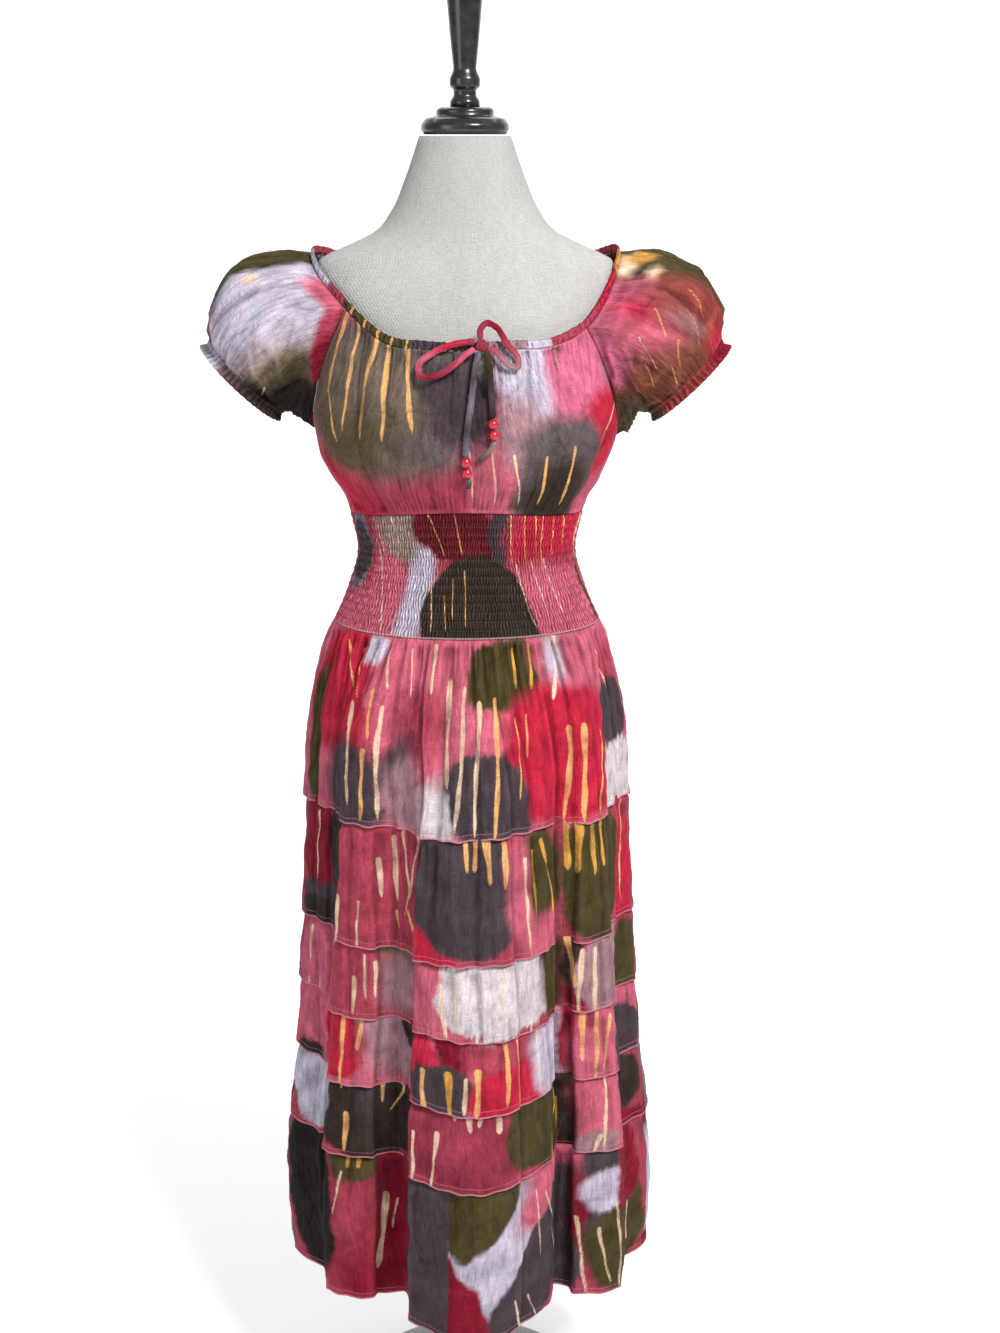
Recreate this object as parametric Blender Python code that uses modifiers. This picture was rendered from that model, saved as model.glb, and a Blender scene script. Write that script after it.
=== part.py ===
"""A tiered peasant dress worn by a limbless dress form on a turned stand.

Metres, +Z up. The origin is on the floor under the pole. The dress faces -Y, and +X is at the right
of someone who looks at its front. Angles go round the body from the front toward +X.
The cloth is a thin wall on smooth ovals, whose sizes stand in the tables below: a row for each
height of the body, for each fold of the skirt and for each of its tiers.
"""

import bmesh
import bpy
import numpy as np
from collections import namedtuple

# Driving sizes
CLOTH = 0.0016
SEAM_GAP = 0.0004
SEAM_MARGIN = 0.12  # degrees
SLEEVE_CLEAR = 0.0018
BAND_CLEAR = 0.0006

WAIST_HEIGHT = 1.140
SMOCK_BOTTOM = 1.053
SMOCK_TOP = 1.200
SMOCK_SIDE_DROP = 0.013
SMOCK_ROWS = 14
SMOCK_RELIEF = 0.0012
SMOCK_WALL = 0.0022

BAND_HEIGHT = 0.009
BAND_THICKNESS = 0.0034
BAND_RIPPLE = 0.0005
SLIT_ANGLE = 9.0
SLIT_DEPTH = 0.055
SLIT_HALF_ANGLE = 3.6
BAND_PART = 0.9
BAND_STEP = 5.5

ARMPIT_SHARE = 0.40
RAGLAN_ANGLE = 61.0
RAGLAN_CURVE = 0.75

CUFF_LENGTH = 0.012
CUFF_WALL = 0.002
CUFF_OUTLINE = ((0.0, 0.0010), (0.45, -0.0008), (1.0, 0.0035))  # share of its length, how far out
CUFF_RIPPLE = 0.0006
SLEEVE_AROUND = 32
SLEEVE_BANDS = 6

SKIRT_AROUND = 60
FORM_AROUND = 28
SMOCK_COLUMNS = FORM_AROUND // 2
TIER_LAP = 0.006
TIER_TUCK = 0.0007
HEM_STAND = 0.0036
HEM_SWING = 0.002
GATHER_DROP = 0.018

CORD = 0.007
BEAD = 0.012

# Body: a row for each height, with the half width and how far the front and the back stand off the axis
Section = namedtuple("Section", "height half_width front back")
BODY = [
    Section(1.040, 0.167, 0.125, 0.128),
    Section(1.053, 0.160, 0.119, 0.122),
    Section(1.100, 0.140, 0.107, 0.108),
    Section(1.140, 0.130, 0.1015, 0.1015),
    Section(1.175, 0.136, 0.105, 0.103),
    Section(1.200, 0.143, 0.111, 0.107),
    Section(1.230, 0.160, 0.130, 0.119),
    Section(1.260, 0.173, 0.139, 0.127),
    Section(1.287, 0.1795, 0.141, 0.131),
    Section(1.330, 0.1805, 0.138, 0.131),
    Section(1.370, 0.1805, 0.131, 0.127),
    Section(1.400, 0.1800, 0.122, 0.120),
    Section(1.433, 0.1790, 0.113, 0.112),
    Section(1.460, 0.178, 0.104, 0.104),
    Section(1.490, 0.178, 0.094, 0.094),
    Section(1.510, 0.178, 0.088, 0.088),
]
SKIRT = [
    Section(1.053, 0.160, 0.119, 0.122),
    Section(1.030, 0.168, 0.129, 0.133),
    Section(1.000, 0.175, 0.140, 0.146),
    Section(0.960, 0.182, 0.153, 0.160),
    Section(0.920, 0.186, 0.162, 0.171),
    Section(0.830, 0.189, 0.167, 0.184),
    Section(0.680, 0.194, 0.167, 0.193),
    Section(0.590, 0.198, 0.167, 0.198),
    Section(0.500, 0.202, 0.168, 0.203),
    Section(0.405, 0.212, 0.168, 0.206),
    Section(0.300, 0.216, 0.164, 0.208),
    Section(0.200, 0.210, 0.158, 0.210),
]
FORM = [
    Section(0.915, 0.150, 0.112, 0.116),
    Section(0.922, 0.158, 0.118, 0.122),
    Section(0.970, 0.162, 0.122, 0.127),
    Section(1.020, 0.154, 0.115, 0.120),
    Section(1.060, 0.142, 0.106, 0.110),
    Section(1.090, 0.1345, 0.1015, 0.1035),
    Section(1.115, 0.1290, 0.0990, 0.1000),
    Section(1.140, 0.1272, 0.0987, 0.0987),
    Section(1.165, 0.1285, 0.0985, 0.0975),
    Section(1.200, 0.136, 0.102, 0.099),
    Section(1.250, 0.152, 0.112, 0.104),
    Section(1.300, 0.164, 0.118, 0.110),
    Section(1.350, 0.170, 0.116, 0.112),
    Section(1.400, 0.1745, 0.104, 0.106),
    Section(1.445, 0.1770, 0.091, 0.094),
    Section(1.468, 0.1750, 0.083, 0.087),
    Section(1.482, 0.1670, 0.078, 0.082),
    Section(1.4925, 0.1440, 0.073, 0.077),
    Section(1.510, 0.1070, 0.068, 0.071),
    Section(1.5345, 0.0860, 0.064, 0.066),
    Section(1.570, 0.0700, 0.059, 0.060),
    Section(1.6197, 0.0525, 0.0505, 0.0505),
]

# Neckline: a row for each angle, with the height of the band's middle
NeckPoint = namedtuple("NeckPoint", "angle height")
NECKLINE = [
    NeckPoint(-180, 1.452), NeckPoint(-140, 1.460), NeckPoint(-110, 1.4815), NeckPoint(-90, 1.4875),
    NeckPoint(-78, 1.466), NeckPoint(-61, 1.433), NeckPoint(-50, 1.412), NeckPoint(-40, 1.398),
    NeckPoint(-20, 1.392), NeckPoint(20, 1.392), NeckPoint(48, 1.397), NeckPoint(61, 1.412),
    NeckPoint(72, 1.438), NeckPoint(80, 1.462), NeckPoint(90, 1.4875), NeckPoint(110, 1.4815),
    NeckPoint(140, 1.460), NeckPoint(180, 1.452),
]

# Folds: a row for each ridge (positive) or trough (negative) of the skirt, with the angle it has at
# the waist, how far it drifts round by the hem, its spread, and how far it stands out at each end
Fold = namedtuple("Fold", "angle drift spread at_waist at_hem")
FOLDS = [
    Fold(3, 0, 20, 0.002, 0.070),
    Fold(-27, -8, 8, -0.006, -0.034),
    Fold(-43, -12, 9, 0.010, 0.008),
    Fold(-64, -10, 8, -0.003, -0.018),
    Fold(-86, -8, 10, 0.003, 0.014),
    Fold(36, 8, 8, -0.005, -0.036),
    Fold(50, 14, 9, 0.006, 0.012),
    Fold(70, 8, 8, -0.003, -0.016),
    Fold(89, 6, 10, 0.003, 0.016),
    Fold(110, 2, 8, -0.003, -0.028),
    Fold(128, 0, 11, 0.003, 0.018),
    Fold(150, 0, 8, -0.004, -0.038),
    Fold(177, 0, 14, 0.003, 0.018),
    Fold(-152, 0, 9, -0.004, -0.036),
    Fold(-130, 0, 11, 0.003, 0.018),
    Fold(-110, -2, 8, -0.003, -0.030),
]

# Tiers: a row for each strip, with its hem's height, the bands of faces down it, its gathers and puff
Tier = namedtuple("Tier", "hem bands gathers ripple puff")
TIERS = [
    Tier(0.833, 4, 15, 0.0026, 0.003),
    Tier(0.682, 4, 15, 0.0024, 0.003),
    Tier(0.591, 3, 15, 0.0022, 0.003),
    Tier(0.502, 3, 15, 0.0022, 0.003),
    Tier(0.407, 3, 15, 0.0024, 0.004),
    Tier(0.212, 3, 15, 0.0028, 0.004),
]
BODICE_GATHERS = 28
BODICE_RIPPLE = 0.0018

# Stand: outer outlines from top to bottom, as rows of radius and height
Turn = namedtuple("Turn", "radius height")
NECK_CAP = [
    Turn(0.0, 1.650), Turn(0.030, 1.650), Turn(0.033, 1.647), Turn(0.033, 1.641), Turn(0.0455, 1.638),
    Turn(0.0505, 1.631), Turn(0.0505, 1.625), Turn(0.047, 1.620), Turn(0.0, 1.620),
]
FINIAL = [
    Turn(0.0, 1.822), Turn(0.012, 1.820), Turn(0.0195, 1.811), Turn(0.0215, 1.798), Turn(0.0205, 1.772),
    Turn(0.0165, 1.725), Turn(0.0130, 1.692), Turn(0.0150, 1.687), Turn(0.0175, 1.682),
    Turn(0.0175, 1.6735), Turn(0.0130, 1.669), Turn(0.0130, 1.663), Turn(0.0170, 1.657),
    Turn(0.0170, 1.6503), Turn(0.0, 1.6503),
]
POLE = [Turn(0.0, 0.9147), Turn(0.013, 0.9147), Turn(0.013, 0.0623), Turn(0.0, 0.0623)]
BASE = [
    Turn(0.0, 0.062), Turn(0.020, 0.062), Turn(0.024, 0.056), Turn(0.027, 0.044), Turn(0.045, 0.034),
    Turn(0.115, 0.024), Turn(0.143, 0.019), Turn(0.150, 0.013), Turn(0.150, 0.004), Turn(0.146, 0.0),
    Turn(0.0, 0.0),
]

# Cuff: the middle of the opening, its two directions and half sizes
CUFF_MIDDLE = np.array([0.257, 0.0, 1.345])
CUFF_TILT = np.radians(44)
CUFF_UP = np.array([np.cos(CUFF_TILT), 0.0, np.sin(CUFF_TILT)])
CUFF_FRONT = np.array([0.0, -1.0, 0.0])
CUFF_OUT = np.array([np.sin(CUFF_TILT), 0.0, -np.cos(CUFF_TILT)])
CUFF_HALF_HEIGHT = 0.059
CUFF_HALF_DEPTH = 0.057

# Sleeve: how its curves leave the seam and arrive at the cuff, as metres along x, y and z or outward
LEAVE_ALL = np.array([0.012, 0.0, 0.002])
LEAVE_TOP = np.array([0.074, 0.0, 0.018])
LEAVE_SIDES = np.array([0.012, 0.0, 0.0])
LEAVE_AHEAD = 0.030
ARRIVE_WIDE = (0.010, 0.040)
ARRIVE_BACK = (0.010, 0.020)
SLEEVE_RIPPLE = 0.0016

# Drawstring: rows of x, height and how far the cord's middle stands off the bodice
Lay = namedtuple("Lay", "x height off")
KNOT = Lay(0.0200, 1.3925, 0.0078)
KNOT_HALF = (0.0075, 0.0050, 0.0065)
LOOP_LEFT = [
    Lay(0.0121, 1.3975, 0.0096), Lay(-0.0100, 1.3945, 0.0096), Lay(-0.0340, 1.3850, 0.0091),
    Lay(-0.0500, 1.3715, 0.0091), Lay(-0.0490, 1.3600, 0.0091), Lay(-0.0350, 1.3590, 0.0091),
    Lay(-0.0120, 1.3710, 0.0101), Lay(0.0030, 1.3840, 0.0106), Lay(0.0119, 1.3895, 0.0106),
]
LOOP_RIGHT = [
    Lay(0.0180, 1.3998, 0.0096), Lay(0.0185, 1.4110, 0.0106), Lay(0.0260, 1.4170, 0.0106),
    Lay(0.0350, 1.4130, 0.0106), Lay(0.0480, 1.3940, 0.0101), Lay(0.0600, 1.3780, 0.0091),
    Lay(0.0600, 1.3690, 0.0086), Lay(0.0500, 1.3710, 0.0086), Lay(0.0380, 1.3840, 0.0096),
    Lay(0.0284, 1.3905, 0.0096),
]
TAIL_LEFT = [
    Lay(0.0165, 1.3860, 0.0063), Lay(0.0125, 1.3680, 0.0063), Lay(0.0085, 1.3350, 0.0063),
    Lay(0.0045, 1.3050, 0.0063), Lay(0.0025, 1.2850, 0.0063), Lay(0.0020, 1.2700, 0.0063),
]
TAIL_RIGHT = [
    Lay(0.0247, 1.3860, 0.0063), Lay(0.0285, 1.3680, 0.0063), Lay(0.0300, 1.3450, 0.0063),
    Lay(0.0310, 1.3300, 0.0063), Lay(0.0320, 1.3130, 0.0063),
]
BEADS_LEFT = [Lay(0.0020, 1.2636, 0.0068), Lay(0.0030, 1.2513, 0.0068)]
BEADS_RIGHT = [Lay(0.0325, 1.3066, 0.0068), Lay(0.0335, 1.2943, 0.0068)]
TIP_LEFT = [Lay(0.0036, 1.2449, 0.0068), Lay(0.0050, 1.2400, 0.0068), Lay(0.0040, 1.2330, 0.0068)]
TIP_RIGHT = [Lay(0.0340, 1.2876, 0.0068), Lay(0.0310, 1.2800, 0.0062), Lay(0.0160, 1.2660, 0.0062)]

# Colours, as linear values
LINEN = (0.72, 0.69, 0.62)
BLACK_WOOD = (0.012, 0.012, 0.013)
ROSE = (0.62, 0.09, 0.16)
CRIMSON = (0.45, 0.02, 0.07)
OLIVE = (0.11, 0.09, 0.04)
SLATE = (0.14, 0.12, 0.14)
BEAD_RED = (0.60, 0.02, 0.03)


def start_empty():
    """The scene's objects are removed, and the part's collection is made."""
    for old in list(bpy.data.objects):
        bpy.data.objects.remove(old)
    made = bpy.data.collections.new("peasant_dress_on_form")
    bpy.context.scene.collection.children.link(made)
    return made


PART = start_empty()


def finish(name, colour, roughness, coat=0.0):
    """One plain material of its own for each sub-part."""
    made = bpy.data.materials.new(name)
    made.use_nodes = True
    shader = made.node_tree.nodes["Principled BSDF"]
    shader.inputs["Base Color"].default_value = (*colour, 1.0)
    shader.inputs["Roughness"].default_value = roughness
    shader.inputs["Coat Weight"].default_value = coat
    made.diffuse_color = (*colour, 1.0)
    return made


def add(name, data, material):
    """A named object of the part, with its material."""
    made = bpy.data.objects.new(name, data)
    made.data.materials.append(material)
    PART.objects.link(made)
    return made


def smooth(at, knots, values):
    """Values read from the smooth curve that passes through rising knots."""
    knots, values = np.asarray(knots, float), np.asarray(values, float)
    at = np.clip(np.asarray(at, float), knots[0], knots[-1])
    slopes = np.gradient(values, knots)
    i = np.clip(np.searchsorted(knots, at, side="right") - 1, 0, len(knots) - 2)
    gap = knots[i + 1] - knots[i]
    t = (at - knots[i]) / gap
    return (
        (2 * t**3 - 3 * t**2 + 1) * values[i]
        + (t**3 - 2 * t**2 + t) * gap * slopes[i]
        + (3 * t**2 - 2 * t**3) * values[i + 1]
        + (t**3 - t**2) * gap * slopes[i + 1]
    )


def wrapped(degrees):
    """An angle brought between -180 and 180 degrees."""
    return (degrees + 180) % 360 - 180


def oval(angle, height, sections):
    """Distance from the axis to the sections' oval, at an angle in degrees and a height."""
    rows = sorted(sections)
    heights = [row.height for row in rows]
    wide = smooth(height, heights, [row.half_width for row in rows])
    front = smooth(height, heights, [row.front for row in rows])
    back = smooth(height, heights, [row.back for row in rows])
    turn = np.radians(angle)
    deep = np.where(np.cos(turn) > 0, front, back)
    return 1 / np.sqrt((np.sin(turn) / wide) ** 2 + (np.cos(turn) / deep) ** 2)


def body_reach(angle, height):
    """Distance from the axis to the bodice and the smocking."""
    return oval(angle, height, BODY)


def skirt_reach(angle, height):
    """The skirt's oval with its folds, which grow from the waist to the hem."""
    fall = np.clip((SMOCK_BOTTOM - height) / (SMOCK_BOTTOM - TIERS[-1].hem), 0, 1.05)
    reach = oval(angle, height, SKIRT)
    for fold in FOLDS:
        depth = fold.at_waist * np.minimum(fall * 12, 1) + (fold.at_hem - fold.at_waist) * fall**0.8
        off = wrapped(angle - fold.angle - fold.drift * fall)
        reach = reach + depth * np.exp(-((off / fold.spread) ** 2))
    return reach


def place(angle, reach, height):
    """Points at an angle round the axis, a distance off it and a height."""
    turn = np.radians(angle)
    return np.stack([reach * np.sin(turn), -reach * np.cos(turn), height + 0 * reach], axis=-1)


def moved_out(surface, angle, height, distance):
    """Points of a surface moved square to its outline at their height."""
    step = 0.2
    here = place(angle, surface(angle, height), height)
    along = place(angle + step, surface(angle + step, height), height) - place(
        angle - step, surface(angle - step, height), height
    )
    square = np.stack([along[..., 1], -along[..., 0], 0 * along[..., 0]], axis=-1)
    square /= np.linalg.norm(square, axis=-1, keepdims=True)
    return here + square * np.asarray(distance)[..., None]


def neck_height(angle):
    """The height of the band's middle, at an angle."""
    return smooth(wrapped(angle), [p.angle for p in NECKLINE], [p.height for p in NECKLINE])


def seam_angle(height):
    """Half of the gap at a seam, as degrees round the body."""
    return np.degrees(0.5 * SEAM_GAP / oval(90, height, BODY))


def mesh_of(name, shell):
    """A smooth mesh from a finished bmesh."""
    made = bpy.data.meshes.new(name)
    shell.to_mesh(made)
    shell.free()
    made.shade_smooth()
    return made


def tube(name, points, material, wall=CLOTH):
    """A tube of cloth that is open at both ends: a surface through rings of points, walled inward."""
    shell = bmesh.new()
    rings = [[shell.verts.new(p) for p in ring] for ring in points]
    for low, high in zip(rings, rings[1:]):
        for c in range(len(low)):
            d = (c + 1) % len(low)
            shell.faces.new((low[c], low[d], high[d], high[c]))
    made = add(name, mesh_of(name, shell), material)
    thick = made.modifiers.new("wall", "SOLIDIFY")
    thick.thickness = wall
    thick.offset = -1


def panel(name, outer, inner, material):
    """A closed wall of cloth between an outer and an inner face, each given from its lowest row up.

    The two faces have the same columns, and may have unlike numbers of rows."""
    shell = bmesh.new()
    sides = []
    for points in (outer, inner[:, ::-1]):
        corners = [[shell.verts.new(p) for p in row] for row in points]
        for low, high in zip(corners, corners[1:]):
            for c in range(len(low) - 1):
                shell.faces.new((low[c], low[c + 1], high[c + 1], high[c]))
        sides.append(corners)
    out, ins = sides[0], [row[::-1] for row in sides[1]]
    for c in range(len(out[0]) - 1):
        shell.faces.new((out[0][c + 1], out[0][c], ins[0][c], ins[0][c + 1]))
        shell.faces.new((out[-1][c], out[-1][c + 1], ins[-1][c + 1], ins[-1][c]))
    if len(out) == len(ins):
        for r in range(len(out) - 1):
            shell.faces.new((out[r][0], out[r + 1][0], ins[r + 1][0], ins[r][0]))
            shell.faces.new((out[r + 1][-1], out[r][-1], ins[r][-1], ins[r + 1][-1]))
    else:
        shell.faces.new([row[0] for row in out] + [row[0] for row in reversed(ins)])
        shell.faces.new([row[-1] for row in reversed(out)] + [row[-1] for row in ins])
    add(name, mesh_of(name, shell), material)


def turned(name, outline, material, steps):
    """A turned solid: a profile down its outer side and a Screw modifier."""
    corners = [(row.radius, 0.0, row.height) for row in outline]
    profile = bpy.data.meshes.new(name)
    profile.from_pydata(corners, [(i, i + 1) for i in range(len(corners) - 1)], [])
    made = add(name, profile, material)
    screw = made.modifiers.new("turned", "SCREW")
    screw.steps = screw.render_steps = steps
    screw.use_merge_vertices = True
    screw.merge_threshold = 0.0001
    return made


def dress_form():
    """The torso is a closed loft of ovals, and stands on a pole in a round base."""
    heights = np.array([row.height for row in FORM])
    angles = np.arange(0, 360, 360 / FORM_AROUND)
    grid = np.meshgrid(heights, angles, indexing="ij")
    points = place(grid[1], oval(grid[1], grid[0], FORM), grid[0])
    shell = bmesh.new()
    rings = [[shell.verts.new(p) for p in ring] for ring in points]
    for low, high in zip(rings, rings[1:]):
        for c in range(len(angles)):
            d = (c + 1) % len(angles)
            shell.faces.new((low[c], low[d], high[d], high[c]))
    shell.faces.new(rings[0][::-1])
    shell.faces.new(rings[-1])
    add("form_torso", mesh_of("form_torso", shell), finish("form linen", LINEN, 0.85))
    black = {"colour": BLACK_WOOD, "roughness": 0.25, "coat": 0.6}
    turned("form_neck_cap", NECK_CAP, finish("neck cap", **black), steps=20)
    turned("form_finial", FINIAL, finish("finial", **black), steps=14)
    turned("form_pole", POLE, finish("pole", **black), steps=12)
    turned("form_base", BASE, finish("base", **black), steps=24)


def smock_top(angle):
    """The height of the seam over the smocking, which dips at the sides."""
    return SMOCK_TOP - SMOCK_SIDE_DROP * np.sin(np.radians(angle)) ** 2


def smocked_waist(name, middle, material):
    """A shirred panel: a row of stitching pinches each groove of its outer face, its inside is plain."""
    half = 90 - seam_angle(WAIST_HEIGHT)
    angles = middle + np.linspace(-half, half, SMOCK_COLUMNS + 1)
    top = smock_top(angles) - SEAM_GAP / 2

    def face(levels, depth):
        rows = []
        for share, sunk in zip(levels, depth):
            height = SMOCK_BOTTOM + share * (top - SMOCK_BOTTOM)
            rows.append(moved_out(body_reach, angles, height, sunk + 0 * angles))
        return np.array(rows)

    outer_levels = np.linspace(0, 1, 2 * SMOCK_ROWS + 1)
    sunk = np.where(np.arange(len(outer_levels)) % 2 == 1, -SMOCK_RELIEF, 0.0)
    inner_levels = np.linspace(0, 1, 8)
    inside = np.full(len(inner_levels), -SMOCK_WALL)
    panel(name, face(outer_levels, sunk), face(inner_levels, inside), material)


def bodice_points(middle, shares, levels, depth=0.0):
    """A bodice panel's face at a depth in its wall, from the smocking up to the neck band.

    It spans half of the body up to the armpit, and narrows from there to the raglan angle."""
    rows = []
    for level in levels:
        past = np.clip((level - ARMPIT_SHARE) / (1 - ARMPIT_SHARE), 0, 1)
        half = 90 - (90 - RAGLAN_ANGLE) * past**RAGLAN_CURVE
        angles = middle + shares * (half - SEAM_MARGIN)
        low = smock_top(middle + shares * 90) + SEAM_GAP / 2
        high = neck_height(middle + shares * RAGLAN_ANGLE) - BAND_HEIGHT / 2 - BAND_CLEAR
        slit = 0.0
        if middle == 0:
            off_slit = np.abs(angles - SLIT_ANGLE) / SLIT_HALF_ANGLE
            slit = SLIT_DEPTH * np.clip(1 - off_slit, 0, 1) ** 0.6
        height = low + level * (high - low - slit)
        near_edge = np.exp(-(((1 - level) / 0.22) ** 2)) + 0.8 * np.exp(-((level / 0.16) ** 2))
        ripple = BODICE_RIPPLE * np.cos(np.radians(BODICE_GATHERS * (angles - middle))) * near_edge
        ripple *= np.clip((1 - np.abs(shares)) * 6, 0, 1) * min(1, level * 30, (1 - level) * 30)
        rows.append(moved_out(body_reach, angles, height, ripple - depth))
    return np.array(rows)


def bodice(name, middle, material):
    """A bodice panel, with columns of its own at the front slit."""
    shares = np.linspace(-1, 1, 23)
    if middle == 0:
        slit_share = SLIT_ANGLE / RAGLAN_ANGLE
        mouth = SLIT_HALF_ANGLE / RAGLAN_ANGLE
        keep = shares[np.abs(shares - slit_share) > mouth * 1.35]
        shares = np.sort(np.concatenate([keep, slit_share + mouth * np.array([-1.0, -0.3, 0.3, 1.0])]))
    levels = np.array([0, 0.10, 0.25, ARMPIT_SHARE, 0.60, 0.80, 0.92, 1.0])
    faces = [bodice_points(middle, shares, levels, depth) for depth in (0.0, CLOTH)]
    panel(name, *faces, material)


def neck_casing(name, first, last, material):
    """A stretch of the gathered band that holds the drawstring, from one angle to another."""
    angles = np.linspace(first, last, int((last - first) / BAND_STEP) + 1)
    middle = neck_height(angles)
    low, high = middle - BAND_HEIGHT / 2, middle + BAND_HEIGHT / 2
    full = BAND_THICKNESS - CLOTH
    wave = BAND_RIPPLE * np.cos(np.pi * np.arange(len(angles)))

    def row(height, out):
        return moved_out(body_reach, angles, height, out + 0 * angles)

    outer = np.array([row(low, 0), row(low * 0.7 + high * 0.3, full + wave),
                      row(low * 0.3 + high * 0.7, full + wave), row(high, 0)])
    inner = np.array([row(low, -CLOTH), row(high, -CLOTH)])
    panel(name, outer, inner, material)


def mirrored(points, side):
    """Points made for the +X side, moved to the other side where that is asked for, in face order."""
    return points if side > 0 else (points * np.array([-1.0, 1.0, 1.0]))[:, ::-1]


def sleeve_root(side):
    """The seam that a sleeve starts from: up the front raglan, along the band, down the back raglan."""
    raglan = (SLEEVE_AROUND * 5) // 16
    band = SLEEVE_AROUND - 2 * raglan
    up = np.linspace(0, 1, raglan, endpoint=False)
    level = ARMPIT_SHARE + (1 - ARMPIT_SHARE) * up
    edge = 90 - (90 - RAGLAN_ANGLE) * up**RAGLAN_CURVE
    low = smock_top(90)
    front_top = neck_height(side * RAGLAN_ANGLE) - BAND_HEIGHT / 2
    back_top = neck_height(180 - side * RAGLAN_ANGLE) - BAND_HEIGHT / 2
    front = (edge, low + level * (front_top - low))
    across = np.linspace(RAGLAN_ANGLE, 180 - RAGLAN_ANGLE, band + 1)
    over = (across, neck_height(side * across) - BAND_HEIGHT / 2)
    back = (180 - edge[:0:-1], low + level[:0:-1] * (back_top - low))
    angle = np.concatenate([front[0], over[0], back[0]])
    height = np.concatenate([front[1], over[1], back[1]])
    return place(angle, body_reach(angle, height), height)


def sleeve_points(side, levels):
    """The sleeve's outer face: smooth curves from the root seam, out over the puff and in to the cuff."""
    root = sleeve_root(side)
    middle = root.mean(axis=0)
    away = np.arctan2(-(root[:, 1] - middle[1]) / 0.09, -(root[:, 2] - middle[2]) / 0.10)
    round_cuff = CUFF_MIDDLE - np.outer(np.cos(away), CUFF_UP) * CUFF_HALF_HEIGHT
    round_cuff += np.outer(np.sin(away), CUFF_FRONT) * CUFF_HALF_DEPTH
    top = (1 - np.cos(away))[:, None] / 2
    radial = round_cuff - CUFF_MIDDLE
    radial /= np.linalg.norm(radial, axis=1, keepdims=True)
    ahead = np.sin(away)[:, None]
    start = root + np.array([SLEEVE_CLEAR, 0, 0])
    leave = LEAVE_ALL + top**2 * LEAVE_TOP + np.abs(ahead) * LEAVE_SIDES + ahead * LEAVE_AHEAD * CUFF_FRONT
    arrive = radial * (ARRIVE_WIDE[0] + ARRIVE_WIDE[1] * top)
    arrive = arrive - CUFF_OUT * (ARRIVE_BACK[0] + ARRIVE_BACK[1] * top)
    quarter_waves = np.cos(np.pi / 2 * np.arange(len(root)))[:, None]
    rows = []
    for t in levels:
        row = (1 - t) ** 3 * start + 3 * (1 - t) ** 2 * t * (start + leave)
        row = row + 3 * (1 - t) * t**2 * (round_cuff + arrive) + t**3 * round_cuff
        near_cuff = np.exp(-(((1 - t) / 0.25) ** 2)) * min(1, (1 - t) * 12)
        rows.append(row + radial * quarter_waves * SLEEVE_RIPPLE * near_cuff)
    return np.array(rows), radial


def sleeve(name, cuff_name, side, material, cuff_material):
    """A puffed sleeve, and the short gathered cuff that it ends in."""
    levels = np.linspace(0, 1, SLEEVE_BANDS + 1)
    rows, radial = sleeve_points(side, levels)
    tube(name, mirrored(rows[::-1], side), material)
    ring = rows[-1]
    cuff = []
    for share, out in CUFF_OUTLINE:
        along = CUFF_OUT * (SEAM_GAP + share * CUFF_LENGTH)
        wave = CUFF_RIPPLE * np.cos(np.pi * np.arange(len(ring)))[:, None] * share
        cuff.append(ring + along + radial * (out + wave))
    tube(cuff_name, mirrored(np.array(cuff[::-1]), side), cuff_material, CUFF_WALL)


def tier_heights(index):
    """A tier's rows: its tucked top edge, the crest of its gathers, and even steps to its hem."""
    tier = TIERS[index]
    if index == 0:
        seam, lap = SMOCK_BOTTOM, -SEAM_GAP
    else:
        seam, lap = TIERS[index - 1].hem, TIER_LAP
    crest = seam - GATHER_DROP
    return [seam + lap] + list(np.linspace(crest, tier.hem, tier.bands))


def tier_points(index, angles, depth=0.0):
    """A tier's face at a depth in its wall: tucked at its top edge, puffed and rippled below it."""
    tier = TIERS[index]
    heights = tier_heights(index)
    rows = []
    for i, height in enumerate(heights):
        fall = (heights[0] - height) / (heights[0] - tier.hem)
        last = i == len(heights) - 1
        swing = HEM_SWING * np.sin(np.radians(5 * angles + 70 * index)) * (1.0 if last else 0.0)
        phase = 1.2 * np.sin(np.radians(3 * angles + 50 * index)) + index
        ripple = tier.ripple * np.cos(np.radians(tier.gathers * angles) + phase) * (1 - fall) ** 1.5
        puff = tier.puff * (1 - fall) + HEM_STAND * fall
        out = 0 * angles - TIER_TUCK if i == 0 else puff + ripple
        rows.append(moved_out(skirt_reach, angles, height + swing, out - depth))
    return np.array(rows[::-1])


def skirt():
    """Six tiers, each a front and a back strip that meet at the side seams."""
    front_colours = (ROSE, SLATE, ROSE, CRIMSON, CRIMSON, ROSE)
    back_colours = (ROSE, CRIMSON, OLIVE, ROSE, SLATE, OLIVE)
    half = 90 - np.degrees(0.5 * SEAM_GAP / SKIRT[0].half_width)
    for index in range(len(TIERS)):
        for word, middle, colours in (("front", 0, front_colours), ("back", 180, back_colours)):
            angles = middle + np.linspace(-half, half, SKIRT_AROUND // 2 + 1)
            name = f"skirt_tier_{index + 1}_{word}"
            faces = [tier_points(index, angles, depth) for depth in (0.0, CLOTH)]
            panel(name, *faces, finish(f"tier {index + 1} {word} cotton", colours[index], 0.85))


def on_bodice(lay):
    """A point in front of the bodice, at its own distance off it."""
    reach = smooth(lay.height, [s.height for s in BODY], [s.front for s in BODY])
    wide = smooth(lay.height, [s.height for s in BODY], [s.half_width for s in BODY])
    return np.array([lay.x, -reach * np.sqrt(1 - (lay.x / wide) ** 2) - lay.off, lay.height])


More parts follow.
